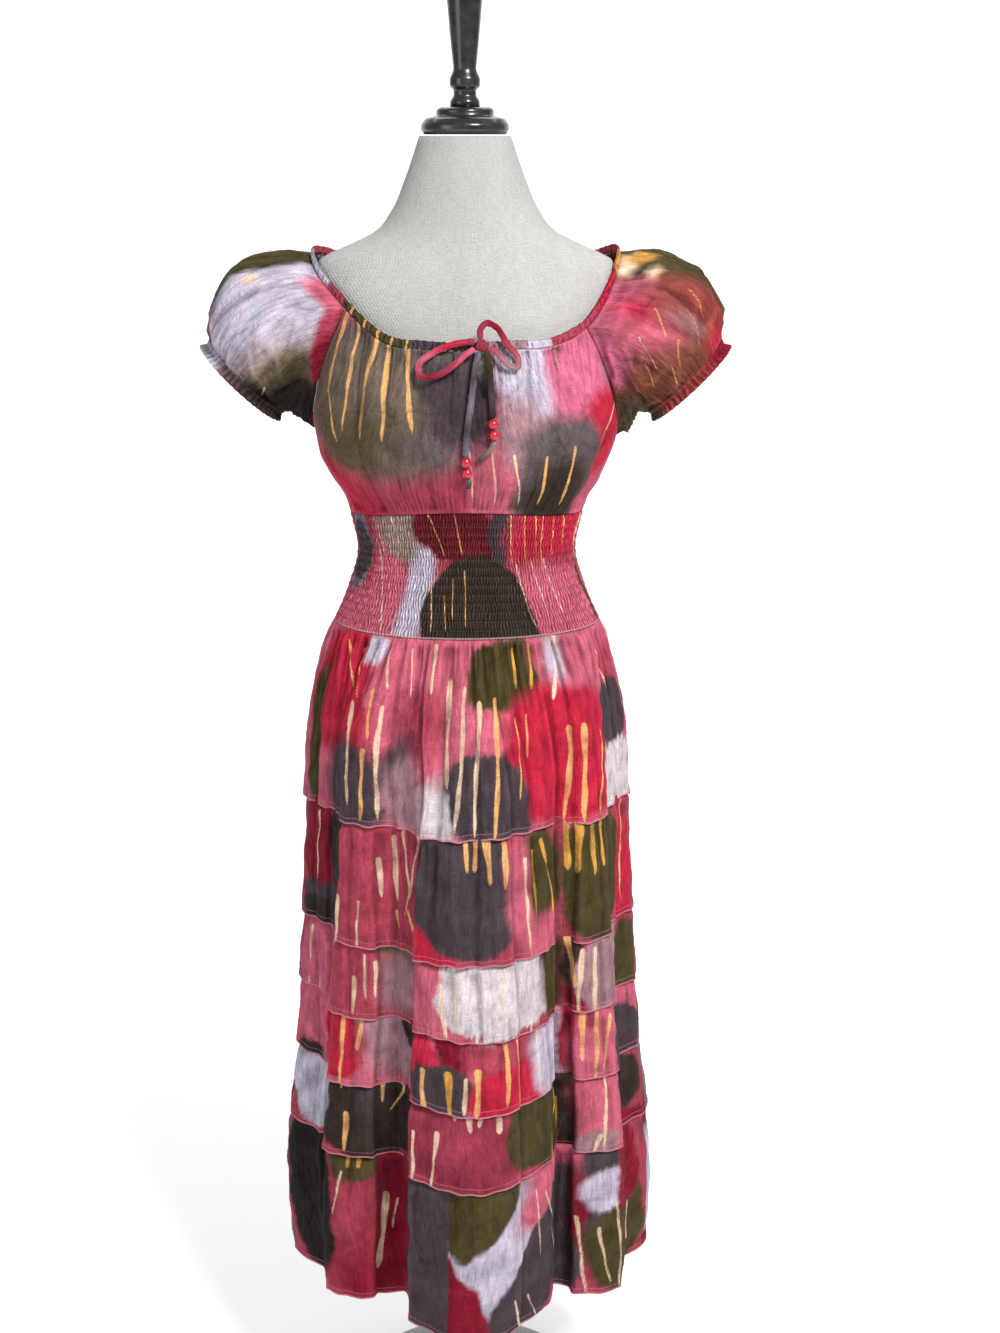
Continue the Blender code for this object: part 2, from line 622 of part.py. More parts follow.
def route(rows, spacing):
    """Even points on the smooth curve through a cord's own points."""
    knots = np.array([on_bodice(row) for row in rows])
    gaps = np.linalg.norm(np.diff(knots, axis=0), axis=1)
    at = np.concatenate([[0], np.cumsum(gaps)])
    steps = max(3, int(round(at[-1] / spacing)) + 1)
    return np.stack([smooth(np.linspace(0, at[-1], steps), at, knots[:, k]) for k in range(3)], axis=1)


def cord(name, rows, material, thickness=CORD):
    """A length of the drawstring: a curve with a round bevel and filled caps."""
    points = route(rows, 1.4 * thickness)
    line = bpy.data.curves.new(name, "CURVE")
    line.dimensions = "3D"
    line.bevel_depth = thickness / 2
    line.bevel_resolution = 2
    line.use_fill_caps = True
    spline = line.splines.new("POLY")
    spline.points.add(len(points) - 1)
    for point, where in zip(spline.points, points):
        point.co = (*where, 1.0)
    return add(name, line, material)


def ball(name, lay, half, material):
    """A bead or a knot: a small sphere, drawn out to its half sizes."""
    shell = bmesh.new()
    bmesh.ops.create_uvsphere(shell, u_segments=10, v_segments=7, radius=1.0)
    bmesh.ops.scale(shell, vec=half, verts=shell.verts)
    bmesh.ops.translate(shell, vec=on_bodice(lay), verts=shell.verts)
    return add(name, mesh_of(name, shell), material)


def drawstring():
    """The bow in front of the band: a knot, two loops, and two free ends with beads and tips."""
    ball("tie_knot", KNOT, KNOT_HALF, finish("tie knot", CRIMSON, 0.85))
    cord("tie_loop_left", LOOP_LEFT, finish("left loop", ROSE, 0.85))
    cord("tie_loop_right", LOOP_RIGHT, finish("right loop", ROSE, 0.85))
    cord("tie_tail_left", TAIL_LEFT, finish("left tail", SLATE, 0.85))
    cord("tie_tail_right", TAIL_RIGHT, finish("right tail", SLATE, 0.85))
    round_bead = (BEAD / 2, BEAD / 2, BEAD / 2)
    for side, beads in (("left", BEADS_LEFT), ("right", BEADS_RIGHT)):
        for count, lay in enumerate(beads, 1):
            bead_paint = finish(f"{side} bead {count}", BEAD_RED, 0.3, 0.5)
            ball(f"tie_bead_{side}_{count}", lay, round_bead, bead_paint)
    cord("tie_tip_left", TIP_LEFT, finish("left tip", SLATE, 0.9), 0.006)
    cord("tie_tip_right", TIP_RIGHT, finish("right tip", OLIVE, 0.9), 0.006)


def upper_dress():
    """The smocked waist, the bodice, the sleeves with their cuffs, and the band round the neck."""
    smocked_waist("smocked_waist_front", 0, finish("smocked front cotton", ROSE, 0.85))
    smocked_waist("smocked_waist_back", 180, finish("smocked back cotton", OLIVE, 0.85))
    bodice("bodice_front", 0, finish("bodice front cotton", ROSE, 0.85))
    bodice("bodice_back", 180, finish("bodice back cotton", SLATE, 0.85))
    sleeve("sleeve_left", "cuff_left", -1, finish("left sleeve cotton", SLATE, 0.85),
           finish("left cuff cotton", OLIVE, 0.85))
    sleeve("sleeve_right", "cuff_right", 1, finish("right sleeve cotton", ROSE, 0.85),
           finish("right cuff cotton", ROSE, 0.85))
    side = 90 - SEAM_MARGIN
    right, left = SLIT_ANGLE + BAND_PART, SLIT_ANGLE - BAND_PART
    neck_casing("neck_casing_front_right", right, side, finish("right band cotton", ROSE, 0.85))
    neck_casing("neck_casing_front_left", -side, left, finish("left band cotton", SLATE, 0.85))
    neck_casing("neck_casing_back", 180 - side, 180 + side, finish("back band cotton", ROSE, 0.85))


dress_form()
upper_dress()
skirt()
drawstring()
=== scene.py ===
"""The looks of a tiered peasant dress on a limbless dress form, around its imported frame.

Metres, +Z up, the dress faces -Y. Angles are degrees round the axis, from the front toward +X.
Every piece of cloth is a grid of rows and columns on the same smooth ovals as its solid. A second
array says how far each point stands out from them, and holds gathers, pleats, creases and hems.
The dye is worked out at the grid's points from tables of patches and of wax streaks.
"""

import math

import bpy
import numpy as np
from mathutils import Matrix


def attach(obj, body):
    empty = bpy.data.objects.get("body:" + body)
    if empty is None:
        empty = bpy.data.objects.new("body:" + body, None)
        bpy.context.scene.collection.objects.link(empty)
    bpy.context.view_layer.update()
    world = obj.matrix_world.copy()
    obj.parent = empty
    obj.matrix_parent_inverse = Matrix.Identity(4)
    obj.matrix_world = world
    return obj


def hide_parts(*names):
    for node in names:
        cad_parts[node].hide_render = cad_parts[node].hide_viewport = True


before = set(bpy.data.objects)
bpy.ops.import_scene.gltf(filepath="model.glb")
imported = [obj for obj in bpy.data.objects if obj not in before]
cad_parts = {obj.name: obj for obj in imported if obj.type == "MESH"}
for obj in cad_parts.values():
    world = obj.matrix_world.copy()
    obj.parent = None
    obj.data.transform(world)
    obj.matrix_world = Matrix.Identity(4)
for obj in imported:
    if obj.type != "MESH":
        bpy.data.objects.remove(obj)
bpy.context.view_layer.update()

# Sizes, as in the part's source
CLOTH = 0.0016
SEAM_GAP = 0.0004
SEAM_MARGIN = 0.12
BAND_CLEAR = 0.0006
SMOCK_BOTTOM, SMOCK_TOP, SMOCK_SIDE_DROP = 1.053, 1.200, 0.013
SMOCK_ROWS, SMOCK_RELIEF, SMOCK_WALL, SMOCK_PLEATS = 14, 0.0012, 0.0022, 212
BAND_HEIGHT, BAND_THICKNESS, BAND_PART = 0.009, 0.0034, 0.9
SLIT_ANGLE, SLIT_DEPTH, SLIT_HALF_ANGLE = 9.0, 0.055, 3.6
ARMPIT_SHARE, RAGLAN_ANGLE, RAGLAN_CURVE = 0.40, 61.0, 0.75
CUFF_LENGTH, CUFF_WALL = 0.012, 0.002
TIER_LAP, TIER_TUCK, HEM_STAND, HEM_SWING, GATHER_DROP = 0.006, 0.0007, 0.0036, 0.002, 0.018
CORD, BEAD = 0.007, 0.012

# Ovals: a row for each height, with the half width and how far the front and the back stand off the axis
BODY = np.array([
    (1.040, 0.167, 0.125, 0.128), (1.053, 0.160, 0.119, 0.122), (1.100, 0.140, 0.107, 0.108),
    (1.140, 0.130, 0.1015, 0.1015), (1.175, 0.136, 0.105, 0.103), (1.200, 0.143, 0.111, 0.107),
    (1.230, 0.160, 0.130, 0.119), (1.260, 0.173, 0.139, 0.127), (1.287, 0.1795, 0.141, 0.131),
    (1.330, 0.1805, 0.138, 0.131), (1.370, 0.1805, 0.131, 0.127), (1.400, 0.1800, 0.122, 0.120),
    (1.433, 0.1790, 0.113, 0.112), (1.460, 0.178, 0.104, 0.104), (1.490, 0.178, 0.094, 0.094),
    (1.510, 0.178, 0.088, 0.088),
])
SKIRT = np.array([
    (0.200, 0.210, 0.158, 0.210), (0.300, 0.216, 0.164, 0.208), (0.405, 0.212, 0.168, 0.206),
    (0.500, 0.202, 0.168, 0.203), (0.590, 0.198, 0.167, 0.198), (0.680, 0.194, 0.167, 0.193),
    (0.830, 0.189, 0.167, 0.184), (0.920, 0.186, 0.162, 0.171), (0.960, 0.182, 0.153, 0.160),
    (1.000, 0.175, 0.140, 0.146), (1.030, 0.168, 0.129, 0.133), (1.053, 0.160, 0.119, 0.122),
])
FORM = np.array([
    (0.915, 0.150, 0.112, 0.116), (0.922, 0.158, 0.118, 0.122), (0.970, 0.162, 0.122, 0.127),
    (1.020, 0.154, 0.115, 0.120), (1.060, 0.142, 0.106, 0.110), (1.090, 0.1345, 0.1015, 0.1035),
    (1.115, 0.1290, 0.0990, 0.1000), (1.140, 0.1272, 0.0987, 0.0987), (1.165, 0.1285, 0.0985, 0.0975),
    (1.200, 0.136, 0.102, 0.099), (1.250, 0.152, 0.112, 0.104), (1.300, 0.164, 0.118, 0.110),
    (1.350, 0.170, 0.116, 0.112), (1.400, 0.1745, 0.104, 0.106), (1.445, 0.1770, 0.091, 0.094),
    (1.468, 0.1750, 0.083, 0.087), (1.482, 0.1670, 0.078, 0.082), (1.4925, 0.1440, 0.073, 0.077),
    (1.510, 0.1070, 0.068, 0.071), (1.5345, 0.0860, 0.064, 0.066), (1.570, 0.0700, 0.059, 0.060),
    (1.6197, 0.0525, 0.0505, 0.0505),
])
NECKLINE = np.array([
    (-180, 1.452), (-140, 1.460), (-110, 1.4815), (-90, 1.4875), (-78, 1.466), (-61, 1.433),
    (-50, 1.412), (-40, 1.398), (-20, 1.392), (20, 1.392), (48, 1.397), (61, 1.412), (72, 1.438),
    (80, 1.462), (90, 1.4875), (110, 1.4815), (140, 1.460), (180, 1.452),
])
# Folds of the skirt: angle at the waist, drift by the hem, spread, and how far out at waist and hem
FOLDS = [
    (3, 0, 20, 0.002, 0.070), (-27, -8, 8, -0.006, -0.034), (-43, -12, 9, 0.010, 0.008),
    (-64, -10, 8, -0.003, -0.018), (-86, -8, 10, 0.003, 0.014), (36, 8, 8, -0.005, -0.036),
    (50, 14, 9, 0.006, 0.012), (70, 8, 8, -0.003, -0.016), (89, 6, 10, 0.003, 0.016),
    (110, 2, 8, -0.003, -0.028), (128, 0, 11, 0.003, 0.018), (150, 0, 8, -0.004, -0.038),
    (177, 0, 14, 0.003, 0.018), (-152, 0, 9, -0.004, -0.036), (-130, 0, 11, 0.003, 0.018),
    (-110, -2, 8, -0.003, -0.030),
]
# Tiers: hem's height, count of the wide gathers all round, their height, and the puff under the seam
TIERS = [
    (0.833, 17, 0.0036, 0.003), (0.682, 15, 0.0024, 0.003), (0.591, 15, 0.0022, 0.003),
    (0.502, 15, 0.0022, 0.003), (0.407, 15, 0.0024, 0.004), (0.212, 15, 0.0028, 0.004),
]
# Cuff: the middle of the opening, its directions and half sizes
CUFF_MIDDLE = np.array([0.257, 0.0, 1.345])
CUFF_TILT = math.radians(44)
CUFF_UP = np.array([math.cos(CUFF_TILT), 0.0, math.sin(CUFF_TILT)])
CUFF_FRONT = np.array([0.0, -1.0, 0.0])
CUFF_OUT = np.array([math.sin(CUFF_TILT), 0.0, -math.cos(CUFF_TILT)])
CUFF_HALF_HEIGHT, CUFF_HALF_DEPTH = 0.059, 0.057
LEAVE_ALL, LEAVE_TOP = np.array([0.012, 0.0, 0.002]), np.array([0.074, 0.0, 0.018])
LEAVE_SIDES, LEAVE_AHEAD = np.array([0.012, 0.0, 0.0]), 0.030
ARRIVE_WIDE, ARRIVE_BACK = (0.010, 0.040), (0.010, 0.020)
# Stand: outer outlines from top to bottom, as rows of radius and height
NECK_CAP = [(0.0, 1.650), (0.030, 1.650), (0.033, 1.647), (0.033, 1.641), (0.0455, 1.638),
            (0.0505, 1.631), (0.0505, 1.625), (0.047, 1.620), (0.0, 1.620)]
FINIAL = [(0.0, 1.822), (0.012, 1.820), (0.0195, 1.811), (0.0215, 1.798), (0.0205, 1.772),
          (0.0165, 1.725), (0.0130, 1.692), (0.0150, 1.687), (0.0175, 1.682), (0.0175, 1.6735),
          (0.0130, 1.669), (0.0130, 1.663), (0.0170, 1.657), (0.0170, 1.6503), (0.0, 1.6503)]
POLE = [(0.0, 0.9147), (0.013, 0.9147), (0.013, 0.0623), (0.0, 0.0623)]
BASE = [(0.0, 0.062), (0.020, 0.062), (0.024, 0.056), (0.027, 0.044), (0.045, 0.034),
        (0.115, 0.024), (0.143, 0.019), (0.150, 0.013), (0.150, 0.004), (0.146, 0.0), (0.0, 0.0)]
# Drawstring: rows of x, height and how far the cord's middle stands off the bodice
LOOP_LEFT = [(0.0121, 1.3975, 0.0096), (-0.0100, 1.3945, 0.0096), (-0.0340, 1.3850, 0.0091),
             (-0.0500, 1.3715, 0.0091), (-0.0490, 1.3600, 0.0091), (-0.0350, 1.3590, 0.0091),
             (-0.0120, 1.3710, 0.0101), (0.0030, 1.3840, 0.0106), (0.0119, 1.3895, 0.0106)]
LOOP_RIGHT = [(0.0180, 1.3998, 0.0096), (0.0185, 1.4110, 0.0106), (0.0260, 1.4170, 0.0106),
              (0.0350, 1.4130, 0.0106), (0.0480, 1.3940, 0.0101), (0.0600, 1.3780, 0.0091),
              (0.0600, 1.3690, 0.0086), (0.0500, 1.3710, 0.0086), (0.0380, 1.3840, 0.0096),
              (0.0284, 1.3905, 0.0096)]
TAIL_LEFT = [(0.0165, 1.3860, 0.0063), (0.0125, 1.3680, 0.0063), (0.0085, 1.3350, 0.0063),
             (0.0045, 1.3050, 0.0063), (0.0025, 1.2850, 0.0063), (0.0020, 1.2700, 0.0063)]
TAIL_RIGHT = [(0.0247, 1.3860, 0.0063), (0.0285, 1.3680, 0.0063), (0.0300, 1.3450, 0.0063),
              (0.0310, 1.3300, 0.0063), (0.0320, 1.3130, 0.0063)]
TIP_LEFT = [(0.0036, 1.2449, 0.0068), (0.0050, 1.2400, 0.0068), (0.0040, 1.2330, 0.0068)]
TIP_RIGHT = [(0.0340, 1.2876, 0.0068), (0.0310, 1.2800, 0.0062), (0.0160, 1.2660, 0.0062)]
BEADS = {"left": [(0.0020, 1.2636, 0.0068), (0.0030, 1.2513, 0.0068)],
         "right": [(0.0325, 1.3066, 0.0068), (0.0335, 1.2943, 0.0068)]}
CORD_THICK, CORD_STEP, FRAY_WIDTH = 0.0026, 0.0016, 0.0060
KNOT, KNOT_HALF = (0.0200, 1.3925, 0.0078), (0.0075, 0.0050, 0.0065)

# Dyes, as linear colours. "black" is painted shade, not a dye of the dress: it goes where shade falls.
DYES = {
    "lavender": (0.50, 0.45, 0.56), "pink": (0.52, 0.105, 0.165), "rose": (0.35, 0.045, 0.078),
    "red": (0.46, 0.014, 0.042), "crimson": (0.21, 0.005, 0.022), "slate": (0.056, 0.039, 0.049),
    "grey": (0.17, 0.15, 0.185), "olive": (0.060, 0.045, 0.014), "charcoal": (0.030, 0.020, 0.015),
    "beige": (0.32, 0.22, 0.19), "mauve": (0.32, 0.18, 0.205), "rust": (0.24, 0.040, 0.036),
    "orange": (0.76, 0.40, 0.15), "cream": (0.76, 0.54, 0.38), "yellow": (0.64, 0.32, 0.06),
    "white": (0.60, 0.53, 0.56), "bright": (0.60, 0.14, 0.25), "taupe": (0.150, 0.112, 0.088),
    "khaki": (0.090, 0.070, 0.038), "smoke": (0.110, 0.086, 0.088), "wine": (0.12, 0.005, 0.012),
    "black": (0.012, 0.008, 0.007), "tawny": (0.17, 0.052, 0.030), "raspberry": (0.26, 0.028, 0.056),
}


# Curves and ovals

def smooth(at, knots, values):
    """Values read from the smooth curve that passes through rising knots."""
    knots, values = np.asarray(knots, float), np.asarray(values, float)
    at = np.clip(np.asarray(at, float), knots[0], knots[-1])
    slopes = np.gradient(values, knots)
    i = np.clip(np.searchsorted(knots, at, side="right") - 1, 0, len(knots) - 2)
    gap = knots[i + 1] - knots[i]
    t = (at - knots[i]) / gap
    return ((2 * t**3 - 3 * t**2 + 1) * values[i] + (t**3 - 2 * t**2 + t) * gap * slopes[i]
            + (3 * t**2 - 2 * t**3) * values[i + 1] + (t**3 - t**2) * gap * slopes[i + 1])


def eased(t):
    """A ramp from 0 to 1 with soft ends."""
    t = np.clip(t, 0, 1)
    return t * t * (3 - 2 * t)


def wrapped(degrees):
    """An angle brought between -180 and 180 degrees."""
    return (degrees + 180) % 360 - 180


def oval(angle, height, rows):
    """The distance from the axis to an ellipse: 1 over the root of (sin/width)^2 + (cos/depth)^2."""
    wide, front, back = (smooth(height, rows[:, 0], rows[:, k]) for k in (1, 2, 3))
    turn = np.radians(angle)
    deep = np.where(np.cos(turn) > 0, front, back)
    return 1 / np.sqrt((np.sin(turn) / wide) ** 2 + (np.cos(turn) / deep) ** 2)


def body_reach(angle, height):
    """The bodice and the smocking."""
    return oval(angle, height, BODY)


def skirt_reach(angle, height):
    """The skirt's oval plus a bell for each fold, which grows from the waist to the hem."""
    fall = np.clip((SMOCK_BOTTOM - height) / (SMOCK_BOTTOM - TIERS[-1][0]), 0, 1.05)
    reach = oval(angle, height, SKIRT)
    for at, drift, spread, waist, hem in FOLDS:
        depth = waist * np.minimum(fall * 12, 1) + (hem - waist) * fall**0.8
        reach = reach + depth * np.exp(-((wrapped(angle - at - drift * fall) / spread) ** 2))
    return reach


def form_reach(angle, height):
    """The padded form."""
    return oval(angle, height, FORM)


def place(angle, reach, height):
    """Points at an angle round the axis, a distance off it and a height."""
    turn = np.radians(angle)
    return np.stack([reach * np.sin(turn), -reach * np.cos(turn), height + 0 * reach], axis=-1)


def upright(reach, angle, height):
    """Points of an upright surface, and the directions square to its outline at each height."""
    step = 0.2
    along = (place(angle + step, reach(angle + step, height), height)
             - place(angle - step, reach(angle - step, height), height))
    square = np.stack([along[..., 1], -along[..., 0], 0 * along[..., 0]], axis=-1)
    square /= np.linalg.norm(square, axis=-1, keepdims=True)
    return place(angle, reach(angle, height), height), square


def neck_height(angle):
    """The height of the band's middle."""
    return smooth(wrapped(angle), NECKLINE[:, 0], NECKLINE[:, 1])


def smock_top(angle):
    """The seam over the smocking, which dips at the sides."""
    return SMOCK_TOP - SMOCK_SIDE_DROP * np.sin(np.radians(angle)) ** 2


def ripples(across, up, size, seed, count=14):
    """A soft random height from -1 to 1: many sine waves of about one size, at seeded slants."""
    rng = np.random.default_rng(seed)
    total = 0 * (across + up)
    for _ in range(count):
        slant, phase = rng.uniform(0, 2 * np.pi, 2)
        wave = 2 * np.pi / (size * rng.uniform(0.6, 1.7))
        total = total + np.sin(wave * (across * np.cos(slant) + up * np.sin(slant)) + phase)
    return total / np.sqrt(count)


def crumpled(across, up, size, seed):
    """Sharp little creases: a soft random height folded over at zero, so it has valleys like paper's."""
    return (1 - 2.2 * np.abs(ripples(across, up, size, seed, 9)) ** 0.8) * 0.5


def pressed_creases(across, up, spacing, depth, seed):
    """Short straight creases, as in washed cotton that was folded: each is a pointed ridge or trough.

    They are strewn over the cloth, about one for each square of `spacing`, most of them steep."""
    rng = np.random.default_rng(seed)
    across, up = np.broadcast_arrays(across, up)
    wide, tall = np.ptp(across), np.ptp(up)
    total = np.zeros(across.shape)
    for _ in range(int(wide * tall / spacing**2)):
        x, y = across.min() + wide * rng.random(), up.min() + tall * rng.random()
        lean = rng.normal(0, 0.55) + (1.2 if rng.random() < 0.25 else 0)
        half, thin = spacing * rng.uniform(0.4, 1.5), 0.0011 * rng.uniform(0.8, 1.7)
        along = (across - x) * math.sin(lean) + (up - y) * math.cos(lean)
        aside = (across - x) * math.cos(lean) - (up - y) * math.sin(lean) + 0.05 * along**2 / spacing
        bell = np.exp(-np.abs(aside) / thin - (along / half) ** 4)
        total += depth * rng.uniform(0.4, 1.0) * rng.choice([-1, 1]) * bell
    return total


def pinches(angle, drop, rows):
    """Folds that run down from a seam: a pointed bell across, which widens and dies away with its length."""
    total = 0 * (angle + drop)
    down = np.maximum(drop, 0)
    start = eased((drop + 0.003) / 0.006)
    for at, drift, width, depth, length in rows:
        off = wrapped(angle - at - drift * down) / (width * (1 + 0.8 * down / length))
        total = total + depth * np.exp(-np.abs(off) ** 1.35) * np.exp(-((down / length) ** 1.5)) * start
    return total


def gather_rows(seed, first, last, spacing, depth, length):
    """Seeded fine gathers from one angle to another: uneven in place, depth and length."""
    rng = np.random.default_rng(seed)
    steps = np.cumsum(rng.uniform(0.55, 1.5, int((last - first) / spacing * 1.4))) * spacing
    at = first + steps[steps < last - first]
    return [(a, rng.uniform(-12, 12), spacing * rng.uniform(0.22, 0.42), -depth * rng.uniform(0.35, 1.3),
             length * rng.uniform(0.35, 1.8)) for a in at]


# Meshes

def lowest_near(values, reach, ring):
    """The lowest value within a few cells of each cell, along the rows and then the columns."""
    low = values.copy()
    for axis in (0, 1):
        base = low.copy()
        for shift in range(1, reach + 1):
            for way in (shift, -shift):
                moved = np.roll(base, way, axis=axis)
                if axis == 0 or not ring:
                    edge = [slice(None)] * 2
                    edge[axis] = slice(0, shift) if way > 0 else slice(-shift, None)
                    moved[tuple(edge)] = base[tuple(edge)]
                low = np.minimum(low, moved)
    return low


def relief_shade_and_highlight(out, cells, size, dark, bright, ring=False):
    """Painted shade and painted highlight from the relief: a darkening factor for a point in a groove, near 1, and a
    lightening for a point on a ridge, near 0.

    Both come from how far it lies under or over the average of the cells around it."""
    mean = out
    for axis in (0, 1):
        mode = "wrap" if ring and axis == 1 else "edge"
        pad = [(0, 0), (0, 0)]
        pad[axis] = (cells + 1, cells)
        total = np.cumsum(np.pad(mean, pad, mode), axis=axis)
        count = out.shape[axis]
        late = np.take(total, np.arange(2 * cells + 1, 2 * cells + 1 + count), axis=axis)
        mean = (late - np.take(total, np.arange(count), axis=axis)) / (2 * cells + 1)
    step = np.tanh((out - mean) / size)
    return 1 + dark * np.minimum(step, 0), bright * np.maximum(step, 0)


def quads(grid):
    """A face for each cell of a grid of point numbers."""
    return np.stack([grid[:-1, :-1], grid[:-1, 1:], grid[1:, 1:], grid[1:, :-1]], -1).reshape(-1, 4).tolist()


def joined_round(grid):
    """A grid with its first column again after its last, so that it closes into a ring."""
    return np.concatenate([grid, grid[:, :1]], axis=1)


def lay_measure(mesh, flat, layers=()):
    """Each point's flat measure in metres as the UV map, and each named layer of colours as an attribute."""
    corners = np.empty(len(mesh.loops), np.int64)
    mesh.loops.foreach_get("vertex_index", corners)
    laid = flat.reshape(-1, 2)[corners].astype(np.float32).ravel()
    mesh.uv_layers.new(name="cloth").data.foreach_set("uv", laid)
    for name, values in layers:
        attribute = mesh.attributes.new(name, "FLOAT_COLOR", "POINT")
        attribute.data.foreach_set("color", values.astype(np.float32).ravel())


def finish_mesh(name, points, faces, material, flat_from=None):
    """A smooth mesh object at the origin. Faces from `flat_from` on stay flat, such as a cut edge."""
    mesh = bpy.data.meshes.new(name)
    mesh.from_pydata(points.tolist(), [], faces)
    shade = np.ones(len(faces), bool)
    if flat_from is not None:
        shade[flat_from:] = False
    mesh.polygons.foreach_set("use_smooth", shade)
    mesh.update()
    made = bpy.data.objects.new(name, mesh)
    made.data.materials.append(material)
    bpy.context.scene.collection.objects.link(made)
    return made


def cloth(name, base, square, out, material, colour, wall=CLOTH, coarse=4, ring=False,
          painted_relief_light=(3, 0.0009, 0.42, 0.06)):
    """A thin shell of cloth on a grid whose rows rise and whose columns run toward +X in front.

    The outer face is the base moved out along its directions. The inner face is a coarser grid, a
    wall's thickness under the lowest fold near each of its points. Flat strips close the edges.
    `colour` gives the dye at each point, and the wax streaks' colour and nearness. Over both, painted
    shade darkens the grooves and a painted highlight makes the ridges paler, as the last argument
    says in cells, depth, darkening and brightening."""
    # Painted light from the relief: painted shade in the grooves and a paler painted highlight on the ridges, over the
    # dye and the wax.
    deep, wear_and_painted_highlight = (part[..., None] for part in relief_shade_and_highlight(out, *painted_relief_light, ring))
    colour = [np.concatenate([(layer[..., :3] * (1 + 2 * wear_and_painted_highlight) + 0.15 * wear_and_painted_highlight) * deep, layer[..., 3:]], -1)
              for layer in colour]
    if not ring:
        assert (out.shape[0] - 1) % coarse == 0 and (out.shape[1] - 1) % coarse == 0, name
    outer = base + square * out[..., None]
    low = lowest_near(out, coarse, ring)
    inner = (base + square * (low - wall)[..., None])[::coarse, ::coarse]
    rows, columns = out.shape
    ins, inner_columns = inner.shape[:2]
    o = np.arange(rows * columns).reshape(rows, columns)
    n = rows * columns + np.arange(ins * inner_columns).reshape(ins, inner_columns)
    if ring:
        o, n = joined_round(o), joined_round(n)
    faces = quads(o)
    faces += np.stack([n[:-1, 1:], n[:-1, :-1], n[1:, :-1], n[1:, 1:]], -1).reshape(-1, 4).tolist()
    flat_from = len(faces)
    for j in range(n.shape[1] - 1):
        near = slice(j * coarse, (j + 1) * coarse + 1)
        faces.append(o[0, near].tolist()[::-1] + [int(n[0, j]), int(n[0, j + 1])])
        faces.append(o[-1, near].tolist() + [int(n[-1, j + 1]), int(n[-1, j])])
    if not ring:
        for i in range(ins - 1):
            near = slice(i * coarse, (i + 1) * coarse + 1)
            faces.append(o[near, 0].tolist() + [int(n[i + 1, 0]), int(n[i, 0])])
            faces.append(o[near, -1].tolist()[::-1] + [int(n[i, -1]), int(n[i + 1, -1])])
    points = np.concatenate([outer.reshape(-1, 3), inner.reshape(-1, 3)])
    made = finish_mesh(name, points, faces, material, flat_from)
    lay_cloth(made, outer, coarse, colour)
    return made


def cut_sheet(piece):
    """Returns the piece as it is; nothing about how it was cut is recorded here."""
    return piece


def lay_cloth(made, outer, coarse, colour):
    """The piece's flat measure as its UV map, in metres along the cloth, and its dye as attributes."""
    across = np.concatenate([[0], np.cumsum(np.linalg.norm(np.diff(outer, axis=1), axis=-1).mean(0))])
    up = np.concatenate([[0], np.cumsum(np.linalg.norm(np.diff(outer, axis=0), axis=-1).mean(1))])
    flat = np.stack(np.meshgrid(across, up), -1)
    picks = (slice(None, None, coarse), slice(None, None, coarse))
    both = np.concatenate([flat.reshape(-1, 2), flat[picks].reshape(-1, 2)])
    layers = [(name, np.concatenate([values.reshape(-1, 4), values[picks].reshape(-1, 4)]))
              for name, values in zip(("dye", "streak"), colour)]
    lay_measure(made.data, both, layers)


def turned(name, outline, material, around=72, bevel=3):
    """A turned solid: its outline, softened between knots, carried round the axis. Poles are one point."""
    rows = np.array(outline[1:-1], float)
    fine = [rows[0]]
    for a, b, c in zip(rows, rows[1:], rows[2:]):
        for t in np.linspace(0, 1, bevel):
            near, far = b + (a - b) * 0.18, b + (c - b) * 0.18
            fine.append((1 - t) ** 2 * near + 2 * t * (1 - t) * b + t**2 * far)
    fine = np.array(fine + [rows[-1]])
    turn = np.linspace(0, 2 * np.pi, around, endpoint=False)
    ring = np.stack([np.sin(turn), -np.cos(turn)], -1)
    points = np.concatenate([
        np.concatenate([fine[:, None, :1] * ring[None], np.broadcast_to(fine[:, None, 1:], (len(fine), around, 1))],
                       -1).reshape(-1, 3), [(0, 0, outline[0][1]), (0, 0, outline[-1][1])]])
    o = np.arange(len(fine) * around).reshape(len(fine), around)
    o = joined_round(o)
    faces = np.stack([o[1:, :-1], o[1:, 1:], o[:-1, 1:], o[:-1, :-1]], -1).reshape(-1, 4).tolist()
    top, bottom = len(points) - 2, len(points) - 1
    faces += [[top, int(a), int(b)] for a, b in zip(o[0, :-1], o[0, 1:])]
    faces += [[bottom, int(b), int(a)] for a, b in zip(o[-1, :-1], o[-1, 1:])]
    return finish_mesh(name, points, faces, material)


# Materials

def group(name, inputs, outputs):
    """An empty shader node group with named sockets."""
    made = bpy.data.node_groups.new(name, "ShaderNodeTree")
    for word, kind, value in inputs:
        socket = made.interface.new_socket(word, in_out="INPUT", socket_type=kind)
        if value is not None:
            socket.default_value = value
    for word, kind in outputs:
        made.interface.new_socket(word, in_out="OUTPUT", socket_type=kind)
    return made, made.nodes.new("NodeGroupInput"), made.nodes.new("NodeGroupOutput")


def node(tree, kind, links=None, **settings):
    """A shader node with its settings and its inputs, which are values or other nodes' sockets."""
    made = tree.nodes.new(kind)
    for key, value in settings.items():
        setattr(made, key, value)
    for key, value in (links or {}).items():
        if isinstance(value, bpy.types.NodeSocket):
            tree.links.new(value, made.inputs[key])
        else:
            made.inputs[key].default_value = value
    return made


